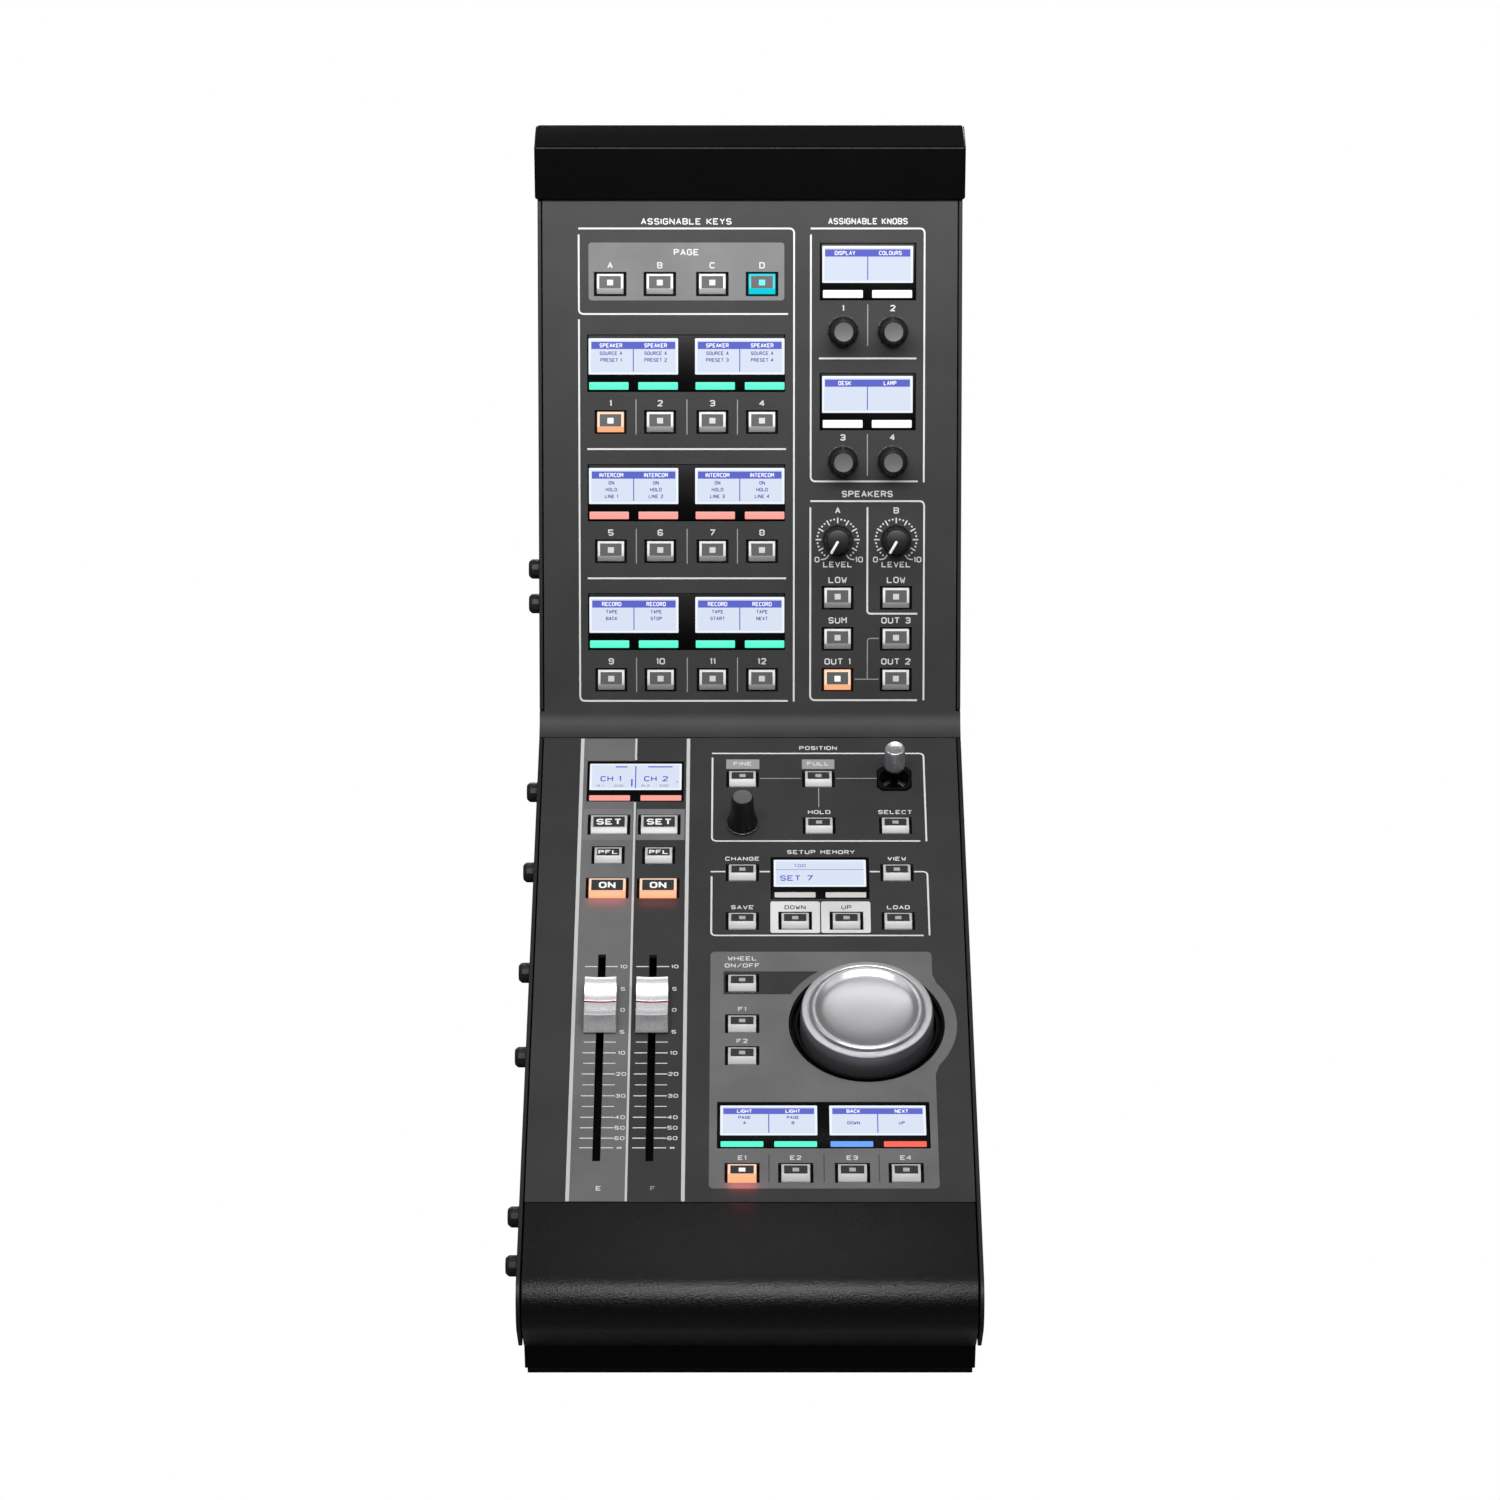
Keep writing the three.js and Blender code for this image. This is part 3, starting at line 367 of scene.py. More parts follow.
def face_out(shape):
    bmesh.ops.recalc_face_normals(shape, faces=shape.faces)
    return shape


def join_rings(shape, rings):
    """Skins neighbouring rings of vertices; a ring of one vertex is a point on the axis."""
    steps = max(map(len, rings))
    for low, high in zip(rings, rings[1:]):
        for i in range(steps):
            j = (i + 1) % steps
            if len(low) == 1:
                shape.faces.new((low[0], high[i], high[j]))
            elif len(high) == 1:
                shape.faces.new((low[i], low[j], high[0]))
            else:
                shape.faces.new((low[i], low[j], high[j], high[i]))


def add_block(shape, outline, low, high):
    bottom, top = ([shape.verts.new((x, y, z)) for x, y in outline] for z in (low, high))
    shape.faces.new(bottom[::-1])
    shape.faces.new(top)
    join_rings(shape, [bottom, top])


def prism(outline, low, high):
    """A closed solid between two heights from an outline."""
    shape = bmesh.new()
    add_block(shape, outline, low, high)
    return face_out(shape)


def across(outline, x0, x1):
    """A closed solid from a side outline of (y, z) points, pulled from x0 to x1."""
    shape = prism(outline, x0, x1)
    turn = Matrix(((0, 0, 1, 0), (1, 0, 0, 0), (0, 1, 0, 0), (0, 0, 0, 1)))
    bmesh.ops.transform(shape, matrix=turn, verts=shape.verts)
    return face_out(shape)


def lathe(profile, steps, ripple=None):
    """A closed turned solid from (radius, height) points that start and end on the axis.

    ripple(radius, angle) gives the radius that a point really has.
    """
    shape = bmesh.new()
    angles = [2 * math.pi * i / steps for i in range(steps)]
    rings = []
    for radius, height in profile:
        if radius <= 0:
            rings.append([shape.verts.new((0, 0, height))])
            continue
        reaches = [ripple(radius, a) if ripple else radius for a in angles]
        ring = [(r * math.cos(a), r * math.sin(a), height) for r, a in zip(reaches, angles)]
        rings.append([shape.verts.new(place) for place in ring])
    join_rings(shape, rings)
    return face_out(shape)


def hollow_lathe(profile, steps=96):
    """A closed ring-shaped solid from a closed profile that stays off the axis."""
    shape = bmesh.new()
    rings = [[shape.verts.new((x, y, z)) for x, y in circle(0, 0, radius, steps)] for radius, z in profile]
    join_rings(shape, rings + rings[:1])
    return face_out(shape)


def bevel(shape, width, above=-1e9, segments=2, sharper=30):
    """Rounds the solid's sharp edges that lie above a height."""
    edges = [
        edge
        for edge in shape.edges
        if edge.is_manifold
        and edge.calc_face_angle() > math.radians(sharper)
        and min(v.co.z for v in edge.verts) > above
    ]
    bmesh.ops.bevel(shape, geom=edges, offset=width, segments=segments, profile=0.5, affect="EDGES")
    return shape


def merge(shape, part):
    """Adds a part's faces to a shape and frees the part."""
    mesh = bpy.data.meshes.new("part")
    part.to_mesh(mesh)
    part.free()
    shape.from_mesh(mesh)
    bpy.data.meshes.remove(mesh)


def moved(shape, x=0.0, turn=0.0):
    matrix = Matrix.Translation((x, 0, 0)) @ Matrix.Rotation(turn, 4, "Z")
    bmesh.ops.transform(shape, matrix=matrix, verts=shape.verts)
    return shape


class Piece:
    """Gathers closed shapes, each with its own material, into one object."""

    def __init__(self, name):
        self.name = name
        self.materials = []
        self.shape = bmesh.new()

    def add(self, shape, material):
        if material not in self.materials:
            self.materials.append(material)
        index = self.materials.index(material)
        for face in shape.faces:
            face.material_index = index
        merge(self.shape, shape)

    def finish(self, place=DESK, body="root", slot=None, replaces=(), smooth=35):
        mesh = bpy.data.meshes.new(self.name)
        self.shape.to_mesh(mesh)
        self.shape.free()
        mesh.transform(Matrix.Scale(MM, 4))
        for material in self.materials:
            mesh.materials.append(material)
        mesh.shade_smooth()
        mesh.set_sharp_from_angle(angle=math.radians(smooth))
        piece = bpy.data.objects.new(self.name, mesh)
        bpy.context.scene.collection.objects.link(piece)
        piece.matrix_world = place
        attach(piece, body)
        if replaces:
            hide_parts(*replaces)
        return piece

# --- lettering

# Each letter's strokes on a grid 4 wide and 6 high. A point is its x digit and its y digit, a
# bar ends a stroke, and a stroke that ends in a star closes on itself.
STROKES = {
    "A": "002640|1232",
    "B": "00063645443303|3342413000",
    "C": "4536160501103041",
    "D": "000636454130*",
    "E": "46060040|0333",
    "F": "460600|0333",
    "G": "45361605011030414323",
    "H": "0006|4046|0343",
    "I": "0006",
    "J": "4641301001",
    "K": "0006|4602|1340",
    "L": "060040",
    "M": "0006234640",
    "N": "00064046",
    "O": "1001051636454130*",
    "P": "00063645443303",
    "Q": "1001051636454130*|2240",
    "R": "00063645443303|2340",
    "S": "453616050413334241301001",
    "T": "0646|2620",
    "U": "060110304146",
    "V": "062046",
    "W": "0610233046",
    "X": "0046|0640",
    "Y": "062346|2320",
    "Z": "06460040",
    "0": "1001051636454130*",
    "1": "051610",
    "2": "05163645440040",
    "3": "05163645443313|334241301001",
    "4": "30360242",
    "5": "460603334241301001",
    "6": "4536160501103041423303",
    "7": "064610",
    "8": "1304051636454433*|1302011030414233*",
    "9": "0110304145361605041343",
    "/": "0046",
    ".": "0001",
    "~": "0204143242443412*",
}
NARROW = {" ": 2.0, "I": 0.0, "1": 1.0, ".": 0.0}
LETTER_SPACE = 1.0
LETTER_DEPTH = 0.04


def stroke_points(code):
    digits = [int(c) for c in code]
    return list(zip(digits[::2], digits[1::2]))


def run_end(point, along, other, half):
    """A run's end: where it is and its sideways offset, mitred into the next run if that's blunt."""
    if other is None:
        return point, normal(along) * half
    if along.dot(other) < -0.1:
        return point + along * half, normal(along) * half
    total = normal(along) + normal(other)
    return point, total * half / (1 + normal(along).dot(normal(other)))


def line_shape(points, width, low, high, closed):
    """A line of even width as one closed solid per straight run."""
    points = [Vector(p) for p in points]
    count = len(points)
    runs = count if closed else count - 1
    along = [(points[(i + 1) % count] - points[i]).normalized() for i in range(runs)]
    shape = bmesh.new()
    for i in range(runs):
        before = along[i - 1] if closed or i > 0 else None
        after = along[(i + 1) % runs] if closed or i < runs - 1 else None
        end, end_side = run_end(points[(i + 1) % count], along[i], after, width / 2)
        reverse = None if before is None else -before
        start, start_side = run_end(points[i], -along[i], reverse, width / 2)
        ring = [start - start_side, start + start_side, end - end_side, end + end_side]
        add_block(shape, ring, low, high)
    return shape


def text(words, x, y, height, wide=1.25, weight=0.18, top=PRINT):
    """Words as thin closed solids whose capitals have the given height, centred on x and y."""
    unit = height * (1 - weight) / 6
    gap = LETTER_SPACE + 6 * weight
    words = words.upper()
    cursor = -(sum(NARROW.get(c, 4) for c in words) + gap * (len(words) - 1)) / 2
    shape = bmesh.new()
    for letter in words:
        for code in filter(None, STROKES.get(letter, "").split("|")):
            points = stroke_points(code.rstrip("*"))
            spots = [(x + (cursor + px) * unit * wide, y + (py - 3) * unit) for px, py in points]
            merge(shape, line_shape(spots, weight * height, top - LETTER_DEPTH, top, code.endswith("*")))
        cursor += NARROW.get(letter, 4) + gap
    return shape


# --- finish of the CAD nodes


def polish(name, material, edge, segments=2):
    """Keeps a CAD node's shape, gives it its material and rounds its edges."""
    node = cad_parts[name]
    mesh = node.data
    custom = mesh.attributes.get("custom_normal")
    if custom:
        mesh.attributes.remove(custom)
    mesh.materials.clear()
    mesh.materials.append(material)
    for face in mesh.polygons:
        face.material_index = 0
    mesh.shade_smooth()
    weld = node.modifiers.new("weld", "WELD")
    weld.merge_threshold = 2e-6
    flat = node.modifiers.new("flat", "DECIMATE")
    flat.decimate_type = "DISSOLVE"
    flat.angle_limit = math.radians(0.5)
    rim = node.modifiers.new("edges", "BEVEL")
    rim.width = edge * MM
    rim.segments = segments
    rim.limit_method = "ANGLE"
    rim.angle_limit = math.radians(25)
    rim.harden_normals = True


def finish_frame():
    for names, material, edge in (
        ("upper_panel lower_panel", PANEL_PAINT, 0.2),
        ("side_plate_right side_plate_left", BODY_PAINT, 0.35),
        ("chassis_tray", COVER_PAINT, 0.3),
        ("front_foot rear_foot", RUBBER, 0.3),
        ("fader_frames", BLACK, 0.2),
        ("joystick_gimbal", STEEL, 0.2),
        ("upper_circuit_board lower_circuit_board", BOARD, 0.1),
        ("main_board", BLACK, 0.3),
    ):
        for name in names.split():
            polish(name, material, edge)
    polish("rear_panel", BODY_PAINT, 0.6, 3)
    polish("top_cap", COVER_PAINT, 1.5, 6)


# --- armrest


def make_armrest():
    """The front edge: the panel's plane rolls over a round nose to the chin."""
    low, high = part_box("armrest")
    front, back = low.y / MM, high.y / MM
    floor = low.z / MM
    half = high.x / MM
    radius = 14.0
    chin = -270.6
    inner = -269.8
    shelf = 31.0
    centre_y = front + radius
    surface = VALLEY[1] + (centre_y - VALLEY[0]) * math.tan(LOWER_SLOPE)
    centre_z = surface - radius / math.cos(LOWER_SLOPE)
    nose = arc(centre_y, centre_z, radius, 212, 90 + math.degrees(LOWER_SLOPE), 40)
    reach = LOWER_LENGTH + 0.4
    rear_top = (VALLEY[0] - reach * math.cos(LOWER_SLOPE), VALLEY[1] - reach * math.sin(LOWER_SLOPE))
    outline = [(chin, floor), *nose, rear_top, (back, shelf), (inner, shelf), (inner, floor)]
    piece = Piece("armrest_cover")
    piece.add(bevel(across(outline, -half, half), 0.5, sharper=40), ARMREST)
    piece.finish(slot="armrest_cover", replaces=["armrest"], smooth=50)


# --- keys

SKIRT = 2.4  # depth of the cap's sloped front
FRAME_SIDE = 1.05  # width of the pale frame beside the dark top
FRAME_BACK = 0.9
FLANGE_OVERHANG = 0.6
CAP_FLOOR = -2.4
FLANGE = (-3.2, -2.3)  # low and high side of the flange that stops the cap under the panel
WEB = (-5.2, -4.0)  # and of the web that joins a strip's four caps
PLUNGER = [(0, -7.6), (1.9, -7.6), (1.9, -3.0), (0, -3.0)]


def top_height(key, y):
    """Height of a key's tilted top, behind its crest."""
    back = key["cap"][1] / 2
    crease = SKIRT - back
    return key["crest"] + (y - crease) * (key["back"] - key["crest"]) / (back - crease)


def sloped(outline, key, low, high):
    """A plate whose faces follow the tilt of a key's top, between two heights above it."""
    return laid(prism(outline, low, high), key)


def laid(shape, key):
    """Lays a flat shape on a key's tilted top."""
    for vert in shape.verts:
        vert.co.z += top_height(key, vert.co.y)
    return shape


def key_shapes(piece, x, key, light, word=None):
    """One key: a pale cap with a sloped front, a dark top plate and a small lamp window."""
    body, lamp = {
        None: (KEY_PALE, KEY_LAMP),
        "orange": (ORANGE_SKIRT, LAMP_WHITE),
        "cyan": (CYAN, CYAN_LAMP),
    }[light]
    half, back = key["cap"][0] / 2, key["cap"][1] / 2
    crease = SKIRT - back
    cap = [(-back, CAP_FLOOR), (back, CAP_FLOOR), (back, key["back"])]
    cap += [(crease, key["crest"]), (-back, key["front"])]
    piece.add(moved(bevel(across(cap, -half, half), 0.16, above=-1.0, sharper=20), x), body)
    if light == "orange":
        rim = span(0.12 - half, half - 0.12, crease + 0.05, back - 0.12, 0.2)
        piece.add(moved(sloped(rim, key, -0.3, 0.015), x), ORANGE_EDGE)
    top = span(FRAME_SIDE - half, half - FRAME_SIDE, crease + 0.12, back - FRAME_BACK, 0.2)
    piece.add(moved(sloped(top, key, -0.3, 0.05), x), KEY_DARK)
    middle = (crease + back - FRAME_BACK) / 2
    if word:
        height = 0.56 * (back - FRAME_BACK - crease)
        letters = laid(text(word, 0, middle, height, 1.15, 0.2, 0.07), key)
        piece.add(moved(letters, x), LAMP_WHITE if light else KEY_WORD)
    else:
        window = rounded(0, middle - 0.1, 2.6, 2.4, 0.15)
        piece.add(moved(sloped(window, key, -0.1, 0.12), x), lamp)
    # the flange is a real part that stops the cap; its black is painted shade that keeps the gap round the
    # cap dark
    flange = [side + 2 * FLANGE_OVERHANG for side in key["opening"]]
    piece.add(prism(rounded(x, 0, *flange, 0.6), *FLANGE), BLACK)
    piece.add(moved(lathe(PLUNGER, 16), x), BLACK)


def node_centre(node, panel):
    """A CAD node's centre in its panel's plane."""
    inverse = panel.inverted()
    points = [inverse @ v.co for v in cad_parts[node].data.vertices]
    xs = [p.x for p in points]
    ys = [p.y for p in points]
    return (min(xs) + max(xs)) / 2 / MM, (min(ys) + max(ys)) / 2 / MM


def finish_on_node(piece, node, panel, slot, smooth=35):
    place = on_panel(panel, *node_centre(node, panel))
    piece.finish(place, node, slot, [node], smooth)


def make_key(node, panel, key=KEY, light=None, word=None):
    piece = Piece(node + "_cap")
    key_shapes(piece, 0, key, light, word)
    finish_on_node(piece, node, panel, "key_cap")


def make_key_strip(node, panel, lights=(None,) * 4):
    """Four caps on one web under the panel."""
    piece = Piece(node + "_caps")
    for column, light in zip(four_columns(0), lights):
        key_shapes(piece, column, KEY, light)
    piece.add(prism(rounded(0, 0, 2 * (MODULE + COLUMN), 4.6), *WEB), BLACK)
    finish_on_node(piece, node, panel, "key_cap")


def make_keys():
    first_lit = ["orange", None, None, None]
    make_key_strip("bank_keys", UPPER, [None, None, None, "cyan"])
    make_key_strip("user_keys_1_4", UPPER, first_lit)
    make_key_strip("user_keys_5_8", UPPER)
    make_key_strip("user_keys_9_12", UPPER)
    make_key_strip("scene_recall_keys", LOWER, first_lit)

    for node in ("dim_a_key", "dim_b_key", "mono_key", "alt_2_key", "alt_1_key"):
        make_key(node, UPPER)
    make_key("main_key", UPPER, light="orange")
    for i in (1, 2):
        make_key(f"sel_key_{i}", LOWER, WIDE_KEY, word="SET")
        make_key(f"cue_key_{i}", LOWER, word="PFL")
        make_key(f"on_key_{i}", LOWER, WIDE_KEY, light="orange", word="ON")
    plain = "relative absolute grab assign update preview store decrement increment recall"
    for name in plain.split() + ["jog_on", "function_1", "function_2"]:
        make_key(name + "_key", LOWER)


# --- knobs

NOTCHES = 12
NOTCH_DEPTH = 0.62
NOTCH_HALF = 0.11  # half a notch's width as a share of the notches' pitch
SKIRT_RADIUS = 5.6  # notches are cut where the knob is wider than this
SHAFT = [(0, -8.6), (3, -8.6), (3, 0.5), (0, 0.5)]
LOW_SETTING = math.radians(-120)


def notched(radius, angle):
    """Narrow grooves down the skirt of a knob."""
    if radius < SKIRT_RADIUS:
        return radius
    phase = (angle * NOTCHES / (2 * math.pi)) % 1
    return radius - NOTCH_DEPTH * max(0.0, 1 - abs(phase - 0.5) / NOTCH_HALF)


def encoder_shapes(piece):
    """A tall tapered knob on a notched skirt, with a grey disc on top and a foot ring painted grey as a
    highlight for the skirt's lit lower edge.
    """
    body = [
        (0, 1.2), (6.35, 1.2), (6.5, 1.5), (6.5, 2.6), (6.3, 3.2), (5.75, 4.6), (5.3, 6.4), (5.05, 8.5),
        (4.85, 11), (4.72, 14), (4.6, 15.9), (4.45, 16.5), (4.2, 16.8), (0, 16.8),
    ]
    piece.add(lathe(body, 144, notched), KNOB_BLACK)
    disc = [(0, 16.6), (4.05, 16.6), (4.05, 17.0), (3.9, 17.15), (3.6, 17.1), (0, 16.95)]
    piece.add(lathe(disc, 48), KNOB_GREY)
    # foot ring painted grey: a painted highlight on the skirt's lower edge
    foot = [(0, 0.4), (6.55, 0.4), (6.75, 0.6), (6.75, 1.1), (6.5, 1.3), (0, 1.3)]
    piece.add(lathe(foot, 144, notched), KNOB_FOOT_HIGHLIGHT)
    piece.add(lathe(SHAFT, 24), BLACK)


def level_shapes(piece):
    """A lower black knob with a pointer line; it stands at its lowest setting."""
    body = [
        (0, 0.4), (6.3, 0.4), (6.5, 0.7), (6.5, 2.4), (6.3, 3.0), (5.8, 3.6), (5.55, 5.5), (5.4, 8.5),
        (5.25, 10.8), (5.1, 11.4), (4.75, 11.8), (4.3, 11.95), (0, 11.95),
    ]
    piece.add(lathe(body, 144, notched), KNOB_BLACK)
    piece.add(lathe(SHAFT, 24), BLACK)
    pointer = prism(rounded(3.1, 0, 6.2, 1.15, 0.5), 11.7, 12.05)
    piece.add(moved(bevel(pointer, 0.08, above=11.9, segments=1), turn=LOW_SETTING), POINTER)


def make_knob(node, panel, shapes):
    piece = Piece(node + "_body")
    shapes(piece)
    finish_on_node(piece, node, panel, "knob", 50)


def make_knobs():
    for number in (1, 2, 3, 4):
        make_knob(f"user_knob_{number}", UPPER, encoder_shapes)
    make_knob("pan_knob", LOWER, encoder_shapes)
    for letter in "ab":
        make_knob(f"level_knob_{letter}", UPPER, level_shapes)


# --- faders

FADER_HALF = 13.4
FADER_WIDTH = 13.3
FADER_FLOOR = 0.9
FADER_CREST = 10.6  # from the cap's middle to the crest near each end
SCOOP_START = 10.7
LINE_HALF = 0.42


def fader_height(y):
    """Height of the cap's crown line: low at the middle, a crest near each end."""
    distance = abs(y)
    if distance <= FADER_CREST:
        t = distance / FADER_CREST
        return 5.2 + 3.6 * (3 * t * t - 2 * t**3)
    t = (distance - FADER_CREST) / (FADER_HALF - FADER_CREST)
    return 8.8 - (8.8 - FADER_FLOOR - 0.5) * t


def fader_point(u, y):
    """A point of the cap's crown: u is -1 to 1 across the cap, y is along it."""
    height = fader_height(y)
    half = FADER_WIDTH / 2 - 0.25 * (height - FADER_FLOOR) / 8
    rim = 0.18 * max(0.0, abs(u) - 0.86) / 0.14
    hollow = 0.55 * (1 - u * u)
    scoop = 0.0
    if abs(y) > SCOOP_START:
        hollow *= 0.4
        scoop = 0.75 * (1 - u * u) * math.sin(math.pi * min(1, (abs(y) - SCOOP_START) / 2.6))
    return u * half, y - math.copysign(scoop, y), height - hollow - rim


def fader_shape():
    """The saddle-shaped cap as one closed solid, a little hollow across its width."""
    middle = [LINE_HALF, 0.8, 1.5, 2.6, 3.8, 5, 6.2, 7.4, 8.6]
    front = middle + [9.6, 10.2, FADER_CREST, 10.95, 11.5, 12.2, 12.9, FADER_HALF]
    stations = [-y for y in reversed(front)] + front
    columns = 16
    across_cap = [2 * i / columns - 1 for i in range(columns + 1)]
    shape = bmesh.new()
    rows = [[shape.verts.new(fader_point(u, y)) for u in across_cap] for y in stations]
    for low, high in zip(rows, rows[1:]):
        for i in range(columns):
            shape.faces.new((low[i], low[i + 1], high[i + 1], high[i]))
    side = FADER_WIDTH / 2
    floors = [[shape.verts.new((x, y, FADER_FLOOR)) for x in (-side, side)] for y in stations]

    for (a, row), (b, after) in zip(zip(floors, rows), zip(floors[1:], rows[1:])):
        shape.faces.new((a[0], row[0], after[0], b[0]))
        shape.faces.new((a[1], b[1], after[-1], row[-1]))
        shape.faces.new((a[0], b[0], b[1], a[1]))
    shape.faces.new((floors[0][0], floors[0][1], *reversed(rows[0])))
    shape.faces.new((floors[-1][1], floors[-1][0], *rows[-1]))
    return face_out(shape)


def make_faders():
    for i, x in enumerate(FADER_X):
        node = f"fader_knob_{i + 1}"
        piece = Piece(node + "_cap")
        piece.add(fader_shape(), FADER_SILVER)
        piece.materials.append(FADER_RED)
        for face in piece.shape.faces:
            centre = face.calc_center_median()
            if abs(centre.y) < LINE_HALF and centre.z > FADER_FLOOR + 0.1:
                face.material_index = 1
        piece.add(prism(rounded(0, 0, 1.4, 7.4), -11, FADER_FLOOR + 0.3), STEEL)
        piece.finish(on_panel(LOWER, x, FADER_ZERO), node, "fader_cap", [node], smooth=40)

# --- jog wheel and joystick


def curve_through(points):
    """A smooth line through (radius, height) points."""
    steps = 5
    out = []
    for i in range(len(points) - 1):
        p0 = Vector(points[max(i - 1, 0)])
        p1, p2 = Vector(points[i]), Vector(points[i + 1])
        p3 = Vector(points[min(i + 2, len(points) - 1)])
        for k in range(steps):
            t = k / steps
            a = 2 * p1 + (p2 - p0) * t
            b = (2 * p0 - 5 * p1 + 4 * p2 - p3) * t * t + (3 * p1 - p0 - 3 * p2 + p3) * t**3
            point = (a + b) / 2
            out.append((point.x, point.y))
    out.append(points[-1])
    return out


def make_jog_wheel():
    rim = 8.9
    piece = Piece("jog_wheel_body")
    side = [
        (0, -5.4), (26.7, -5.4), (27.2, -4.9), (27.3, -3), (27.15, 4), (26.9, rim - 0.9), (26.6, rim - 0.35),
        (25.5, rim - 0.35), (25.5, rim - 2.3), (0, rim - 2.3),
    ]
    piece.add(lathe(side, 128), JOG_SIDE)
    corner = [(26.62, rim - 0.5), (26.6, rim - 0.2), (26.35, rim + 0.05), (25.9, rim + 0.12)]
    ring = curve_through([
        (24.3, rim + 0.1), (23.9, rim - 0.1), (23.6, rim + 0.25), (23.0, rim + 1.1), (22.0, rim + 1.65),
        (20.9, rim + 1.5), (19.7, rim + 0.7), (18.2, rim - 0.1), (15.5, rim - 0.75), (11.5, rim - 1.3),
        (6, rim - 1.65), (0, rim - 1.75),
    ])
    top = [(0, rim - 2.6), (26.3, rim - 2.6), *corner, *ring[:-1], (0, rim - 1.75)]
    piece.add(lathe(top, 128), JOG_METAL)
    piece.add(lathe([(0, -11.6), (4, -11.6), (4, -5.3), (0, -5.3)], 32), STEEL)
    piece.finish(on_panel(LOWER, *JOG), "jog_wheel", "turned_metal", ["jog_wheel"], smooth=32)


def make_jog_housing():
    piece = Piece("jog_housing_ring")
    outer = [
        (4.5, -13), (32.4, -13), (32.4, -2.4), (31.4, -2.4), (31.4, -0.9), (31.25, -0.75), (30.9, -0.75),
        (30.8, -0.9), (30.8, -5), (29.3, -5), (29.3, -0.75), (29.15, -0.6), (28.45, -0.6), (28.3, -0.75),
        (28.2, -7), (4.5, -7),
    ]
    piece.add(hollow_lathe(outer), BLACK)
    piece.finish(on_panel(LOWER, *JOG), "root", "black_plastic", ["jog_housing"])


def make_joystick():
    x, y = PANNER_X[2], PANNER_Y
    lift = 8.0  # from the pivot up to the panel's surface
    piece = Piece("joystick_lever")
    neck = [
        (0, -3.4), (2.4, -3.4), (4, -1.6), (4, 1.6), (1.8, 3.4), (1.8, lift + 5), (2.6, lift + 6),
        (0, lift + 6),
    ]
    piece.add(lathe(neck, 32), BLACK)
    barrel = [
        (0, lift + 5.9), (2.8, lift + 6.1), (3.7, lift + 6.6), (4.25, lift + 7.5), (4.4, lift + 8.6),
        (4.35, lift + 17.0), (4.25, lift + 17.7), (4.0, lift + 18.2), (3.7, lift + 18.35),
        (3.45, lift + 18.2), (3.1, lift + 17.85), (1.8, lift + 17.55), (0, lift + 17.45),
    ]
    piece.add(lathe(barrel, 64), STICK_METAL)
    pivot = on_panel(LOWER, x, y, -lift)
    piece.finish(pivot, "joystick_stick", "turned_metal", ["joystick_stick"], smooth=40)

    housing = Piece("joystick_housing_cup")
    cup = hollow_lathe([(6.2, -18), (6.9, -18), (6.9, 0.3), (6.6, 0.6), (6.3, 0.5), (6.2, 0.2)], 48)
    housing.add(cup, BLACK)
    housing.add(octagon_collar(7.0, 4.8), BLACK)
    housing.finish(on_panel(LOWER, x, y), "root", "black_plastic", ["joystick_housing"])


def octagon_collar(flat, corner):
    """A flat collar with a round opening; its eight corners are at (flat, corner) and its mirrors."""
    steps, low, high = 48, -4.0, 0.55
    inside = circle(0, 0, 6.5, steps)
    outside = []
    for x, y in circle(0, 0, 1, steps):
        reach = min(flat / max(abs(x), abs(y)), (flat + corner) / (abs(x) + abs(y)))
        outside.append((x * reach, y * reach))
    shape = bmesh.new()
    rings = []
    for ring, z in ((inside, low), (outside, low), (outside, high), (inside, high)):
        rings.append([shape.verts.new((x, y, z)) for x, y in ring])
    join_rings(shape, rings + rings[:1])
    return face_out(shape)


# --- displays

GLASS = -0.3  # height of the lenses
LCD = -0.2  # height of what's lit in them


def lit_area(piece, x0, x1, y0, y1, material):
    shape = prism(span(x0, x1, y0, y1, 0.35), GLASS - 0.1, LCD)
    piece.add(bevel(shape, 0.04, above=LCD - 0.02), material)


def mark(piece, x0, x1, y0, y1, material=LCD_BAND, rise=0.05):
    piece.add(prism(span(x0, x1, y0, y1), LCD, LCD + rise), material)


def show(piece, words, x, y, height, wide, weight, material, rise=0.07):
    piece.add(text(words, x, y, height, wide, weight, LCD + rise), material)


def display(piece, x0, x1, y0, y1, heads=(), lines=()):
    """A lit display: a white frame, a pale field, a header band and short generic words."""
    lit_area(piece, x0, x1, y0, y1, LCD_FRAME)
    piece.add(prism(span(x0 + 0.9, x1 - 0.9, y0 + 0.9, y1 - 0.9), LCD - 0.05, LCD + 0.02), LCD_FIELD)
    if not heads:
        return
    band_top = y1 - 1.5
    band_low = band_top - 3.1
    middle = (x0 + x1) / 2
    mark(piece, x0 + 1.2, x1 - 1.2, band_low, band_top, rise=0.04)
    mark(piece, middle - 0.22, middle + 0.22, y0 + 1.3, band_low, rise=0.04)
    centres = [x0 + (x1 - x0) / 4 * (1 + 2 * i) for i in (0, 1)]
    for x, head in zip(centres, heads):
        show(piece, head, x, (band_top + band_low) / 2, 1.8, 0.95, 0.18, LCD_WHITE, 0.08)
    for x, words in zip(centres, lines):
        for k, word in enumerate(words):
            show(piece, word, x, band_low - 1.8 - 2.9 * k, 1.55, 1.0, 0.18, LCD_WORDS, 0.06)


def bezel(piece, x, y, size):
    width, depth = size
    shape = prism(rounded(x, y, width - 0.6, depth - 0.6, 0.7), -2.5, GLASS)
    piece.add(bevel(shape, 0.12, above=GLASS - 0.05), GLOSS_BLACK)
    piece.add(prism(rounded(x, y, width + 2, depth + 2, 0.5), -3.4, -2.3), BLACK)


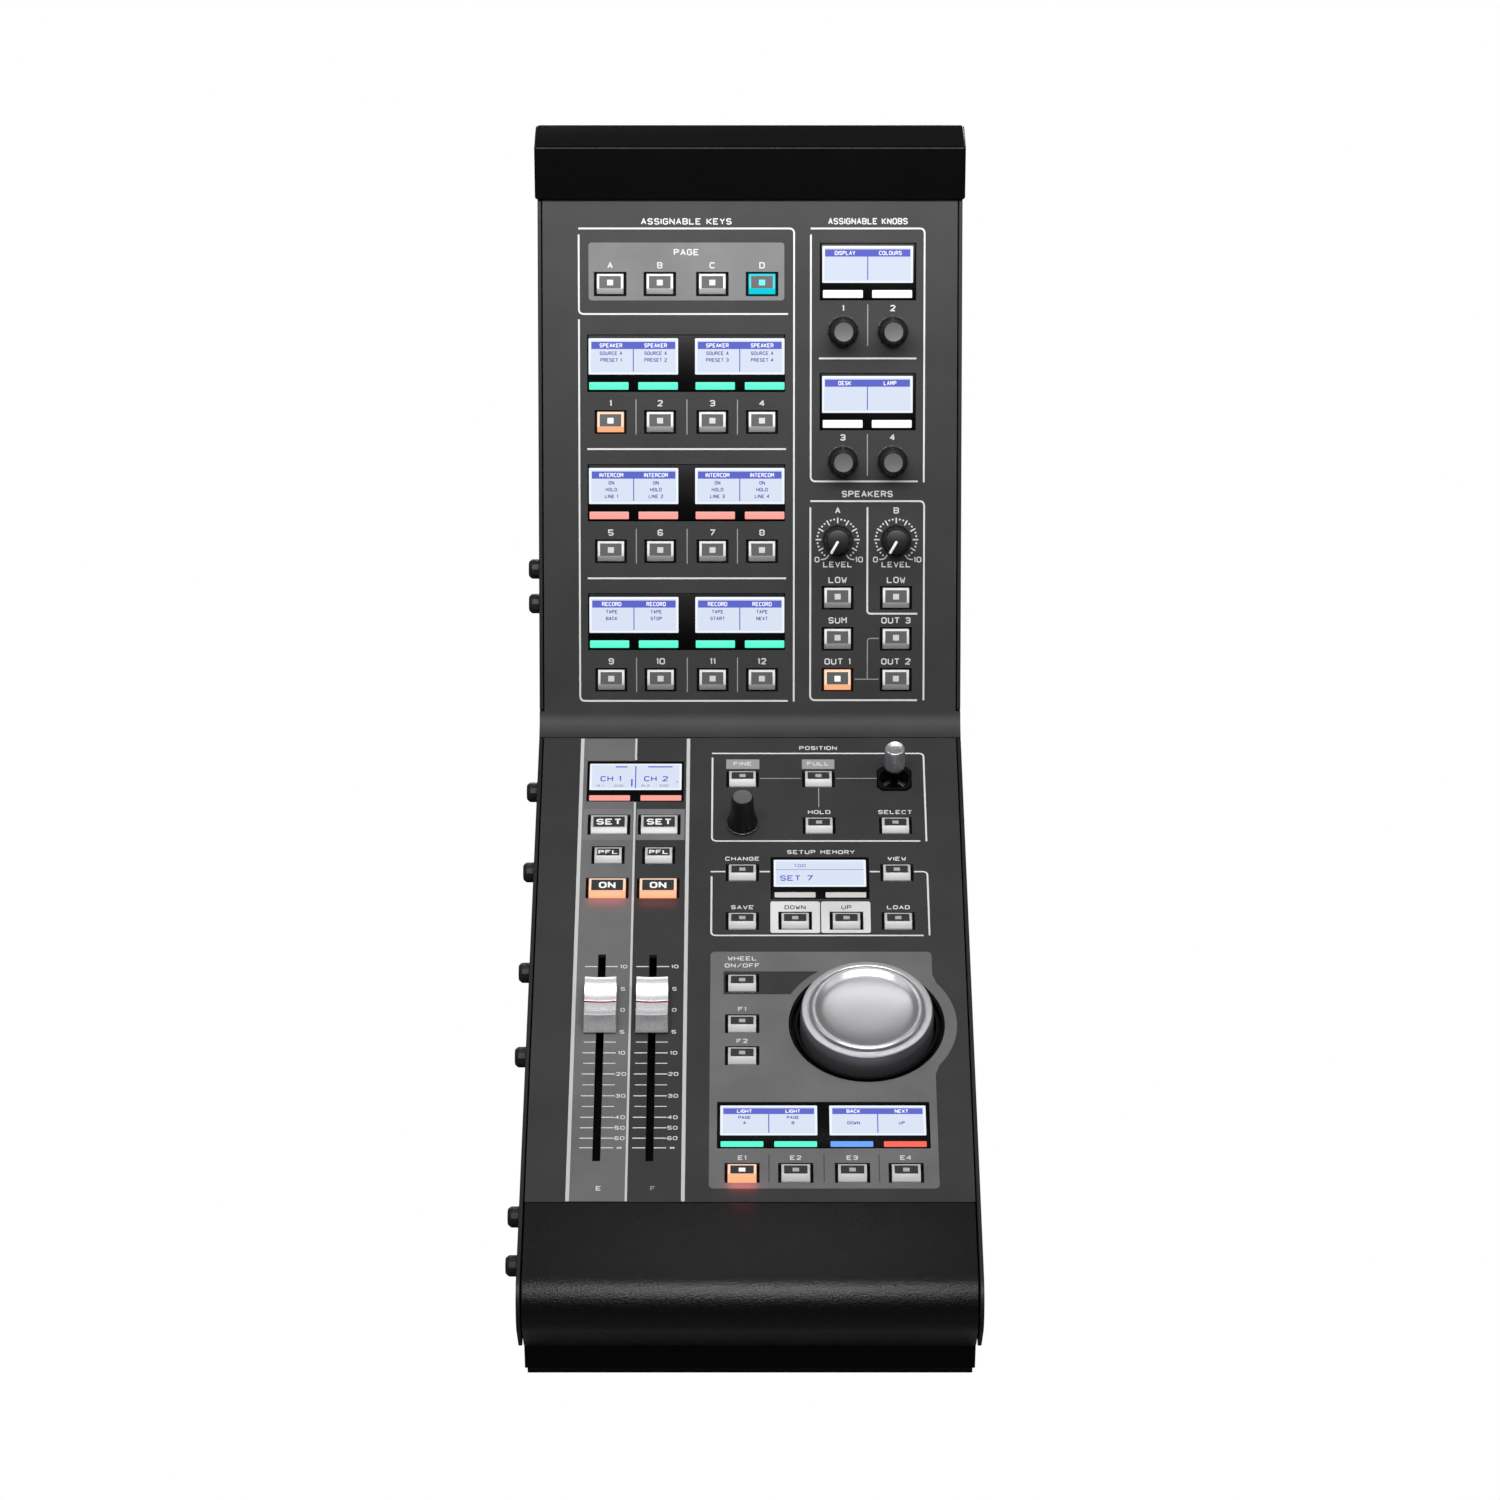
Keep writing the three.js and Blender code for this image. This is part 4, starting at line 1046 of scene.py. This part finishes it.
UPPER_ROWS = [
    (BAR_MINT, "SPEAKER", [["SOURCE A", f"PRESET {i}"] for i in (1, 2, 3, 4)]),
    (BAR_SALMON, "INTERCOM", [["ON", "HOLD", f"LINE {i}"] for i in (1, 2, 3, 4)]),
    (BAR_MINT, "RECORD", [["TAPE", word] for word in ("BACK", "STOP", "START", "NEXT")]),
]


def make_upper_displays():
    piece = Piece("upper_displays")
    bar_spans = [(-69.1, -52.2), (-48.0, -31.0), (-23.4, -6.5), (-2.2, 14.8)]
    for row, (color, head, lines) in enumerate(UPPER_ROWS):
        y = 156.9 - ROW_PITCH * row
        bezel(piece, USER_X, y, WIDE_DISPLAY)
        for x0, x1, words in ((-69.3, -30.9, lines[:2]), (-23.6, 14.8, lines[2:])):
            display(piece, x0, x1, y - 4.8, y + 10.7, [head] * 2, words)
        for x0, x1 in bar_spans:
            lit_area(piece, x0, x1, y - 11.3, y - 8.1, color)
    for y, heads in ((196.1, ("Display", "Colours")), (196.1 - ROW_PITCH, ("Desk", "Lamp"))):
        bezel(piece, KNOB_X, y, DISPLAY)
        display(piece, 31.0, 69.9, y - 4.8, y + 11.0, heads)
        for x in (31.3, 52.4):
            lit_area(piece, x, x + 17.1, y - 11.2, y - 7.9, BAR_WHITE)
    piece.finish(UPPER, "root", "lens", ["upper_display_lens"])


def channel_display(piece):
    bezel(piece, *CHANNEL_DISPLAY, DISPLAY)
    display(piece, -68.6, -29.3, -38.5, -22.6)
    for i, x in enumerate((-68.6, -49.2)):
        show(piece, f"CH {i + 1}", x + 9.0, -31.8, 3.2, 1.1, 0.17, LCD_BAND)
        show(piece, "0.00", x + 12.5, -36.0, 1.2, 1.2, 0.13, LCD_WORDS)
        show(piece, f"IN {i + 1}", x + 4.5, -36.0, 1.2, 1.2, 0.13, LCD_WORDS)
        mark(piece, x + 5.5 + 5.5 * (1 - i), x + 16.0, -24.9, -24.2)
        mark(piece, x + 17.7, x + 18.4, -36.5 + 3 * i, -32.0 - 2 * i)
    mark(piece, -49.2, -48.7, -37.5, -24)
    for x in (-68.6, -46.7):
        lit_area(piece, x, x + 17.4, -44.9, -41.8, BAR_SALMON)


def memory_display(piece):
    bezel(piece, 29.35, -91.1, DISPLAY)
    display(piece, 10, 48.7, -96.1, -80.4)
    mark(piece, 10.9, 47.8, -86.3, -86.1, LCD_WORDS)
    show(piece, "1.00", 21, -83.9, 1.8, 1.2, 0.13, LCD_WORDS)
    show(piece, "SET 7", 19.5, -91.2, 3.2, 1.15, 0.17, LCD_BAND)
    lit_area(piece, 10.3, 27.4, -102.4, -99.4, BAR_OFF)
    lit_area(piece, 31.6, 48.6, -102.4, -99.4, BAR_OFF)


def page_display(piece):
    bezel(piece, E_X, E_DISPLAY_Y, WIDE_DISPLAY)
    for x0, x1, heads, lines in (
        (-11.9, 26.9, ("LIGHT", "LIGHT"), (["PAGE", "A"], ["PAGE", "B"])),
        (31.8, 70.4, ("BACK", "NEXT"), (["", "DOWN"], ["", "UP"])),
    ):
        display(piece, x0, x1, -234.4, -218.6, heads, lines)
    for x, color in zip((-11.7, 9.7, 32.1, 53.4), (BAR_MINT, BAR_MINT, BAR_BLUE, BAR_RED)):
        lit_area(piece, x, x + 17.0, -240.5, -237.6, color)


def make_lower_displays():
    piece = Piece("lower_displays")
    channel_display(piece)
    memory_display(piece)
    page_display(piece)
    piece.finish(LOWER, "root", "lens", ["lower_display_lens"])


# --- printing on the panels


def draw(piece, points, width=LINE, radius=CORNER, ink=INK):
    piece.add(prism(ribbon(soften(points, radius), width), 0.0, PRINT), ink)


def write(piece, words, x, y, height=LABEL, ink=INK, **options):
    piece.add(text(words, x, y, height, **options), ink)


def dial(piece, x, y):
    """The scale round a level knob: ticks every 30 degrees, two dots between, 0 and 10."""
    for step in range(-4, 5):
        angle = math.radians(90 - 30 * step)
        tick = [(x + r * math.cos(angle), y + r * math.sin(angle)) for r in (7.1, 9.5)]
        draw(piece, tick, 0.55)
    for step in range(-5, 5):
        for part in (10, 20):
            angle = math.radians(90 - 30 * step - part)
            dot = circle(x + 8.8 * math.cos(angle), y + 8.8 * math.sin(angle), 0.42, 10)
            piece.add(prism(dot, 0.0, PRINT), INK)
    for side in (-1, 1):
        hook = [(x + side * 3.8, y - 6.6), (x + side * 5.0, y - 8.4), (x + side * 7.2, y - 8.6)]
        draw(piece, hook, 0.5, 1.2)
    write(piece, "0", x - 8.9, y - 8.6, 2.4)
    write(piece, "10", x + 9.2, y - 8.6, 2.4)


def upper_lines(piece):
    top = 214.5
    for points in (
        [(-73.5, top), (18.9, top), (18.9, 11.0)],
        [(-73.4, 211.9), (-73.4, 178.0), (16.3, 178.0)],
        [(-73.4, 175.7), (-73.4, 11.3), (16.3, 11.3)],
        [(-70, 120.1), (15.5, 120.1)],
        [(-70, 64.4), (15.5, 64.4)],
        [(26, top), (74.8, top), (74.8, 105.8)],
        [(26.1, 211.9), (26.1, 106.2), (72.2, 106.2)],
        [(29.6, 159), (71.4, 159)],
        [(26, 97.7), (75, 97.7), (75, 11.6)],
        [(26, 95), (26, 11.6), (72.2, 11.6)],
    ):
        draw(piece, points)
    draw(piece, [(50.6, 95.1), (50.6, 49.1), (72.2, 49.1)], radius=1.6)
    thin = [[(x, y), (x, y + 15)] for x in (-49, -27.1, -5.4) for y in (126.4, 70.75, 15.1)]
    thin += [[(50.5, y), (50.5, y + 17.8)] for y in (164.3, 108.7)]
    thin += [[(45.2, 20.7), (55.6, 20.7)], [(50.7, 20.9), (50.7, 38.4), (55.6, 38.4)]]
    for points in thin:
        draw(piece, points, THIN_LINE, 1.4, DULL_INK)


def upper_words(piece):
    columns = four_columns(USER_X)
    write(piece, "ASSIGNABLE KNOBS", 50.5, 217.6, wide=1.02)
    words = [("ASSIGNABLE KEYS", -27.3, 217.5), ("PAGE", -27.3, 204.4), ("SPEAKERS", 50.5, 100.8)]
    words += [(letter, x, 198.8) for letter, x in zip("ABCD", columns)]
    words += [(str(i + 1), columns[i % 4], 139.8 - ROW_PITCH * (i // 4)) for i in range(12)]
    for i, x in enumerate((39.9, 61.2)):
        words += [(str(i + 1), x, 180.5), (str(i + 3), x, 125.1)]
    for x, column in zip(MONITOR_X, (("A", "LOW", "SUM", "OUT 1"), ("B", "LOW", "OUT 3", "OUT 2"))):
        words += [(word, x, y) for word, y in zip(column, (93.7, 63.7, 46.2, 28.4))]
        write(piece, "LEVEL", x, 70.4, 2.5)
        dial(piece, x, 81.1)
    for word, x, y in words:
        write(piece, word, x, y)


def make_upper_printing():
    piece = Piece("upper_printing")
    upper_lines(piece)
    upper_words(piece)
    piece.finish(UPPER, "root", "panel_paint")


# a mark's number, and how far down the panel from the valley line it stands
FADER_MARKS = [
    ("10", 142.3), ("5", 154.9), ("0", 166.6), ("5", 178.8), ("", 184.4), ("10", 190.3), ("", 196.0),
    ("20", 201.8), ("", 207.7), ("30", 213.6), ("", 219.3), ("40", 225.1), ("50", 230.7), ("60", 236.2),
    ("~", 241.3),
]
FINE_MARKS = [157.8, 160.7, 163.7, 169.6, 172.7, 175.7]


def fader_scale(piece, x):
    for word, t in FADER_MARKS:
        width, reach = (0.5, 6.9) if word else (0.4, 6.4)
        draw(piece, [(x - reach, -t), (x - 1.7, -t)], width)
        draw(piece, [(x + 1.7, -t), (x + 6.6, -t)], width)
        if word:
            write(piece, word, x + 9.0, -t, 2.0, wide=1.35)
    for t in FINE_MARKS:
        for start in (x - 6.4, x + 5.2):
            draw(piece, [(start, -t), (start + 1.2, -t)], 0.4)


def lower_lines(piece):
    start, end = -7.4, -LOWER_LENGTH + 0.2
    for x, y0, y1, width in (
        (-72.1, start, end, 1.5),
        (-26.5, start, end, 1.5),
        (-49, start, -20.6, 0.9),
        (-49, -46.2, end, 0.9),
    ):
        draw(piece, [(x, y0), (x, y1)], width, ink=STRIPE_INK)
    for points in (
        [(-16.3, -16.5), (54.5, -16.5)],
        [(54.5, -16.5), (74.6, -16.5), (74.6, -69.7)],
        [(-16.1, -19), (-16.1, -69.5), (72, -69.5)],
        [(-16.5, -87.6), (-10.4, -87.6)],
        [(4.1, -87.6), (8.4, -87.6)],
        [(50.3, -87.6), (54.6, -87.6)],
        [(69.0, -87.6), (74.5, -87.6), (74.5, -124.6)],
        [(-16.1, -90.4), (-16.1, -124.6), (72, -124.6)],
    ):
        draw(piece, points)
    for points in (
        [(4.3, -31.8), (21.9, -31.8)],
        [(36.7, -31.8), (54.2, -31.8)],
        [(29.3, -37.5), (29.3, -49.2)],
    ):
        draw(piece, points, THIN_LINE, ink=DULL_INK)
    for x in (7.5, 29.4, 51.3):
        draw(piece, [(x, -244.7), (x, -259.4)], THIN_LINE, ink=DARK_INK)


LOWER_WORDS = [
    ("POSITION", 29.3, -13.2), ("FINE", -3.1, -22.8), ("FULL", 29.25, -22.8), ("HOLD", 29.4, -52.2),
    ("SELECT", 61.7, -52.2), ("SETUP MEMORY", 29.9, -76.1), ("CHANGE", -3.2, -80.0),
    ("VIEW", 61.8, -80.0), ("SAVE", -3.2, -108.4), ("LOAD", 61.9, -108.4), ("WHEEL", -3.2, -137.7),
    ("ON/OFF", -3.2, -141.7), ("F1", -3.2, -166.1), ("F2", -3.2, -183.8), ("E", -59.9, -262.5),
]


def lower_words(piece):
    words = LOWER_WORDS + [(f"E{i + 1}", x, -246.5) for i, x in enumerate(four_columns(E_X))]
    for word, x, y in words:
        write(piece, word, x, y, SMALL_LABEL, wide=1.3)
    write(piece, "F", -38.4, -262.5, SMALL_LABEL, DULL_INK, wide=1.3)
    write(piece, "DOWN", 18.8, -108.4, SMALL_LABEL, DARK_INK, wide=1.2)
    write(piece, "UP", 40.2, -108.4, SMALL_LABEL, DARK_INK, wide=1.2)


def make_lower_printing():
    piece = Piece("lower_printing")
    lower_lines(piece)
    lower_words(piece)
    for x in FADER_X:
        fader_scale(piece, x)
    piece.finish(LOWER, "root", "panel_paint")


def cut_plates(name, panel, plates, holes):
    """Printed areas, with the panel's openings cut through them."""
    cutters = Piece("cutters")
    for outline in holes:
        cutters.add(prism(outline, -3, 3), BLACK)
    tool = cutters.finish(panel)
    for number, (outline, material, height) in enumerate(plates):
        piece = Piece(f"{name}_{number + 1}")
        piece.add(prism(outline, -0.4, height), material)
        target = piece.finish(panel, "root", "panel_paint")
        modifier = target.modifiers.new("openings", "BOOLEAN")
        modifier.operation = "DIFFERENCE"
        modifier.solver = "EXACT"
        modifier.object = tool
        bpy.context.view_layer.update()
        graph = bpy.context.evaluated_depsgraph_get()
        result = bpy.data.meshes.new_from_object(target.evaluated_get(graph))
        target.modifiers.clear()
        target.data = result
        result.shade_flat()
    bpy.data.objects.remove(tool)


def openings(groups):
    """Outlines of like openings, a little wider than the panel's, from (size, centres) groups."""
    margin = 0.12
    return [
        rounded(x, y, width + 2 * margin, depth + 2 * margin)
        for (width, depth), centres in groups
        for x, y in centres
    ]


def jog_plate_outline():
    """A rectangle with a round swelling for the wheel on its right side."""
    left, right, top, bottom = -16.3, 75.0, -133.9, -262.6
    radius = 36.8
    reach = math.degrees(math.acos((right - JOG[0]) / radius))
    swell = arc(*JOG, radius, reach - 4, 4 - reach, 20)
    above = (right, swell[0][1] + 5.0)
    below = (right, swell[-1][1] - 5.0)
    corner = 2.0
    points = [
        *arc(left + corner, top - corner, corner, 180, 90, 5),
        *arc(right - corner, top - corner, corner, 90, 0, 5),
        above, *swell, below,
        *arc(right - corner, bottom + corner, corner, 0, -90, 5),
        *arc(left + corner, bottom + corner, corner, -90, -180, 5),
    ]
    return points[::-1]


def dark_strip():
    """The gap in the jog plate beside the wheel, open to the dark panel."""
    top, low, left, clear = -145.0, -157.9, -10.9, 35.0
    start, end = (180 - math.degrees(math.asin((y - JOG[1]) / clear)) for y in (top, low))
    return [(left, low), (left, top), *arc(*JOG, clear, start, end, 12)][::-1]


def make_plates():
    bank = [(span(-69.2, 14.7, 183.8, 208.5, 1.3), PLATE_PAINT, PLATE)]
    bank_holes = openings([(KEY_OPENING, [(x, 190.8) for x in four_columns(USER_X)])])
    cut_plates("upper_printed_areas", UPPER, bank, bank_holes)

    strip_end = -LOWER_LENGTH + 0.2
    plates = [
        (span(-71.3, -49.4, strip_end, -7.4), STRIP_PAINT, PLATE),
        (jog_plate_outline(), STRIP_PAINT, PLATE),
        (span(8.5, 29.15, -123.1, -105, 1.0), PALE_PAINT, PLATE),
        (span(29.65, 50.2, -123.1, -105, 1.0), PALE_PAINT, PLATE),
        (span(-10.2, 4, -26, -20.2), DULL_INK, PLATE),
        (span(22.3, 36.2, -26, -20.2), DULL_INK, PLATE),
        (span(-70.9, -50.0, -68.9, -50.4), PLATE_PAINT, PLATE + 0.02),
        (span(-48.2, -27.7, -68.9, -50.4), PLATE_PAINT, PLATE + 0.02),
    ]
    keys = [(x, -77.8) for x in CHANNEL_X]
    keys += [(x, PANNER_Y) for x in PANNER_X[:2]]
    keys += [(18.8, -116.1), (40.15, -116.1), (-3.2, -174.2), (-3.2, -191.8)]
    keys += [(x, -254.4) for x in four_columns(E_X)]
    holes = openings([
        (DISPLAY, [CHANNEL_DISPLAY]),
        (WIDE_KEY["opening"], [(x, y) for x in CHANNEL_X for y in (-59.7, -97.1)]),
        ((3.0, 112.7), [(x, -191.85) for x in FADER_X]),
        (KEY_OPENING, keys),
        (WIDE_DISPLAY, [(E_X, E_DISPLAY_Y)]),
    ])
    holes += [circle(*JOG, JOG_OPENING + 0.1, 96), dark_strip()]
    cut_plates("lower_printed_areas", LOWER, plates, holes)


# --- rear sockets: x and z of their middles

DATA_SOCKETS = [(-52, 40), (-26, 40)]
POWER_INLET = (48, 42)


def make_contacts():
    """Contacts inside the rear sockets."""
    piece = Piece("socket_contacts")
    for x, z in DATA_SOCKETS:
        side = span(271, 277, z + 4.2, z + 4.6)
        for i in range(8):
            cx = x - 4.2 + 1.2 * i
            piece.add(across(side, cx - 0.3, cx + 0.3), GOLD)
    x, z = POWER_INLET
    for dx, dz in ((-7, -2), (0, 3), (7, -2)):
        blade = across(span(265.6, 279, z + dz - 2, z + dz + 2), x + dx - 1, x + dx + 1)
        piece.add(bevel(blade, 0.3), STEEL)
    piece.finish(DESK, "root", "steel")


# --- camera, light and floor


def make_camera():
    data = bpy.data.cameras.new("camera")
    data.lens = 120.0
    data.shift_y = -0.00073
    data.sensor_width = 36.0
    camera = bpy.data.objects.new("camera", data)
    bpy.context.scene.collection.objects.link(camera)
    camera.location = (0.0, -1.74518, 1.33410)
    camera.rotation_euler = (math.radians(90 - 35), 0, 0)
    bpy.context.scene.camera = camera


def area_light(name, size, power, color=(1, 1, 1)):
    data = bpy.data.lights.new(name, "AREA")
    data.shape = "RECTANGLE"
    data.size, data.size_y = size
    data.energy = power
    data.color = color
    light = bpy.data.objects.new(name, data)
    bpy.context.scene.collection.objects.link(light)
    light.visible_camera = False
    return light


def studio_light(name, place, target, size, power):
    light = area_light(name, size, power)
    light.location = place
    light.rotation_euler = (Vector(target) - Vector(place)).to_track_quat("-Z", "Y").to_euler()


def key_glow(name, x, y, width):
    """Red light that spills onto the front panel ahead of a lit key."""
    light = area_light(name, (width * MM, 1.5 * MM), 0.0007, (1, 0.08, 0.05))
    light.matrix_world = on_panel(LOWER, x, y, 2.5)


def camera_only(tree, seen, unseen, output):
    """Shows one shader to the camera and another to every other ray."""
    path = add_node(tree, "LightPath", {})
    inputs = {0: path.outputs["Is Camera Ray"], 1: unseen.outputs[0], 2: seen.outputs[0]}
    feed(tree, output, {"Surface": add_node(tree, "MixShader", inputs).outputs[0]})


def make_floor():
    """A stage: white to the camera, dark grey to all other rays."""
    mesh = bpy.data.meshes.new("floor")
    shape = bmesh.new()
    bmesh.ops.create_grid(shape, x_segments=1, y_segments=1, size=12)
    shape.to_mesh(mesh)
    shape.free()
    floor = bpy.data.objects.new("floor", mesh)
    bpy.context.scene.collection.objects.link(floor)
    floor.location = (0, 0, -0.0002)
    material, tree, shader = new_material("floor_white", (0.12, 0.12, 0.12, 1.0), 0.9, 0.0, 0.1)
    camera_only(tree, add_node(tree, "Emission", {}), shader, tree.nodes["Material Output"])
    mesh.materials.append(material)


# brightness of the studio by the sine of the elevation, behind the desk
STUDIO = [(0.0, 0.2), (0.3, 0.3), (0.56, 0.05), (0.68, 0.25), (0.76, 0.65), (0.84, 0.06), (1.0, 0.02)]
STUDIO_FRONT = 0.01


def make_world():
    """White to the camera; to all other rays a few bright bands behind the desk, and dim elsewhere."""
    world = bpy.data.worlds.new("studio")
    world.use_nodes = True
    bpy.context.scene.world = world
    tree = world.node_tree
    place = add_node(tree, "TexCoord", {})
    parts = add_node(tree, "SeparateXYZ", {"Vector": place.outputs["Generated"]}).outputs
    bands = add_node(tree, "ValToRGB", {"Fac": parts["Z"]})
    stops = bands.color_ramp.elements
    for i, (position, value) in enumerate(STUDIO):
        stop = stops[i] if i < 2 else stops.new(position)
        stop.position = position
        stop.color = (value, value, value, 1)
    inputs = {"From Min": -0.35, "From Max": 0.5, "To Min": STUDIO_FRONT, "Value": parts["Y"]}
    rear = add_node(tree, "MapRange", inputs)
    inputs = {"Color": bands.outputs["Color"], "Strength": rear.outputs["Result"]}
    unseen = feed(tree, tree.nodes["Background"], inputs)
    seen = add_node(tree, "Background", {"Color": (1, 1, 1, 1)})
    camera_only(tree, seen, unseen, tree.nodes["World Output"])


def make_light():
    bpy.context.scene.view_settings.view_transform = "Standard"
    make_world()
    for name, place, target, size, power in (
        ("front_top", (0, -0.85, 1.5), (0, -0.15, 0.12), (1.5, 0.16), 32),
        ("front", (0, -1.9, 1.75), (0, 0.05, 0.15), (1.6, 0.5), 4),
        ("panel_top", (0, 0.02, 0.44), (0, 0.12, 0.28), (0.4, 0.05), 0.65),
        ("left", (-1.6, -0.3, 1.2), (0, 0, 0.1), (0.5, 1.2), 5),
        ("right", (1.6, -0.3, 1.2), (0, 0, 0.1), (0.5, 1.2), 5),
        ("rear", (0, 2.0, 0.2), (0, 0.28, 0.12), (1.6, 0.16), 16),
    ):
        studio_light(name, place, target, size, power)
    for i, x in enumerate(CHANNEL_X):
        key_glow(f"glow_on_{i + 1}", x, -104.4, 15)
    key_glow("glow_e1", four_columns(E_X)[0], -260.9, 11)


# --- assembly


make_camera()
make_light()
make_floor()
finish_frame()
make_armrest()
make_keys()
make_knobs()
make_faders()
make_jog_wheel()
make_jog_housing()
make_joystick()
make_upper_displays()
make_lower_displays()
make_upper_printing()
make_lower_printing()
make_plates()
make_contacts()
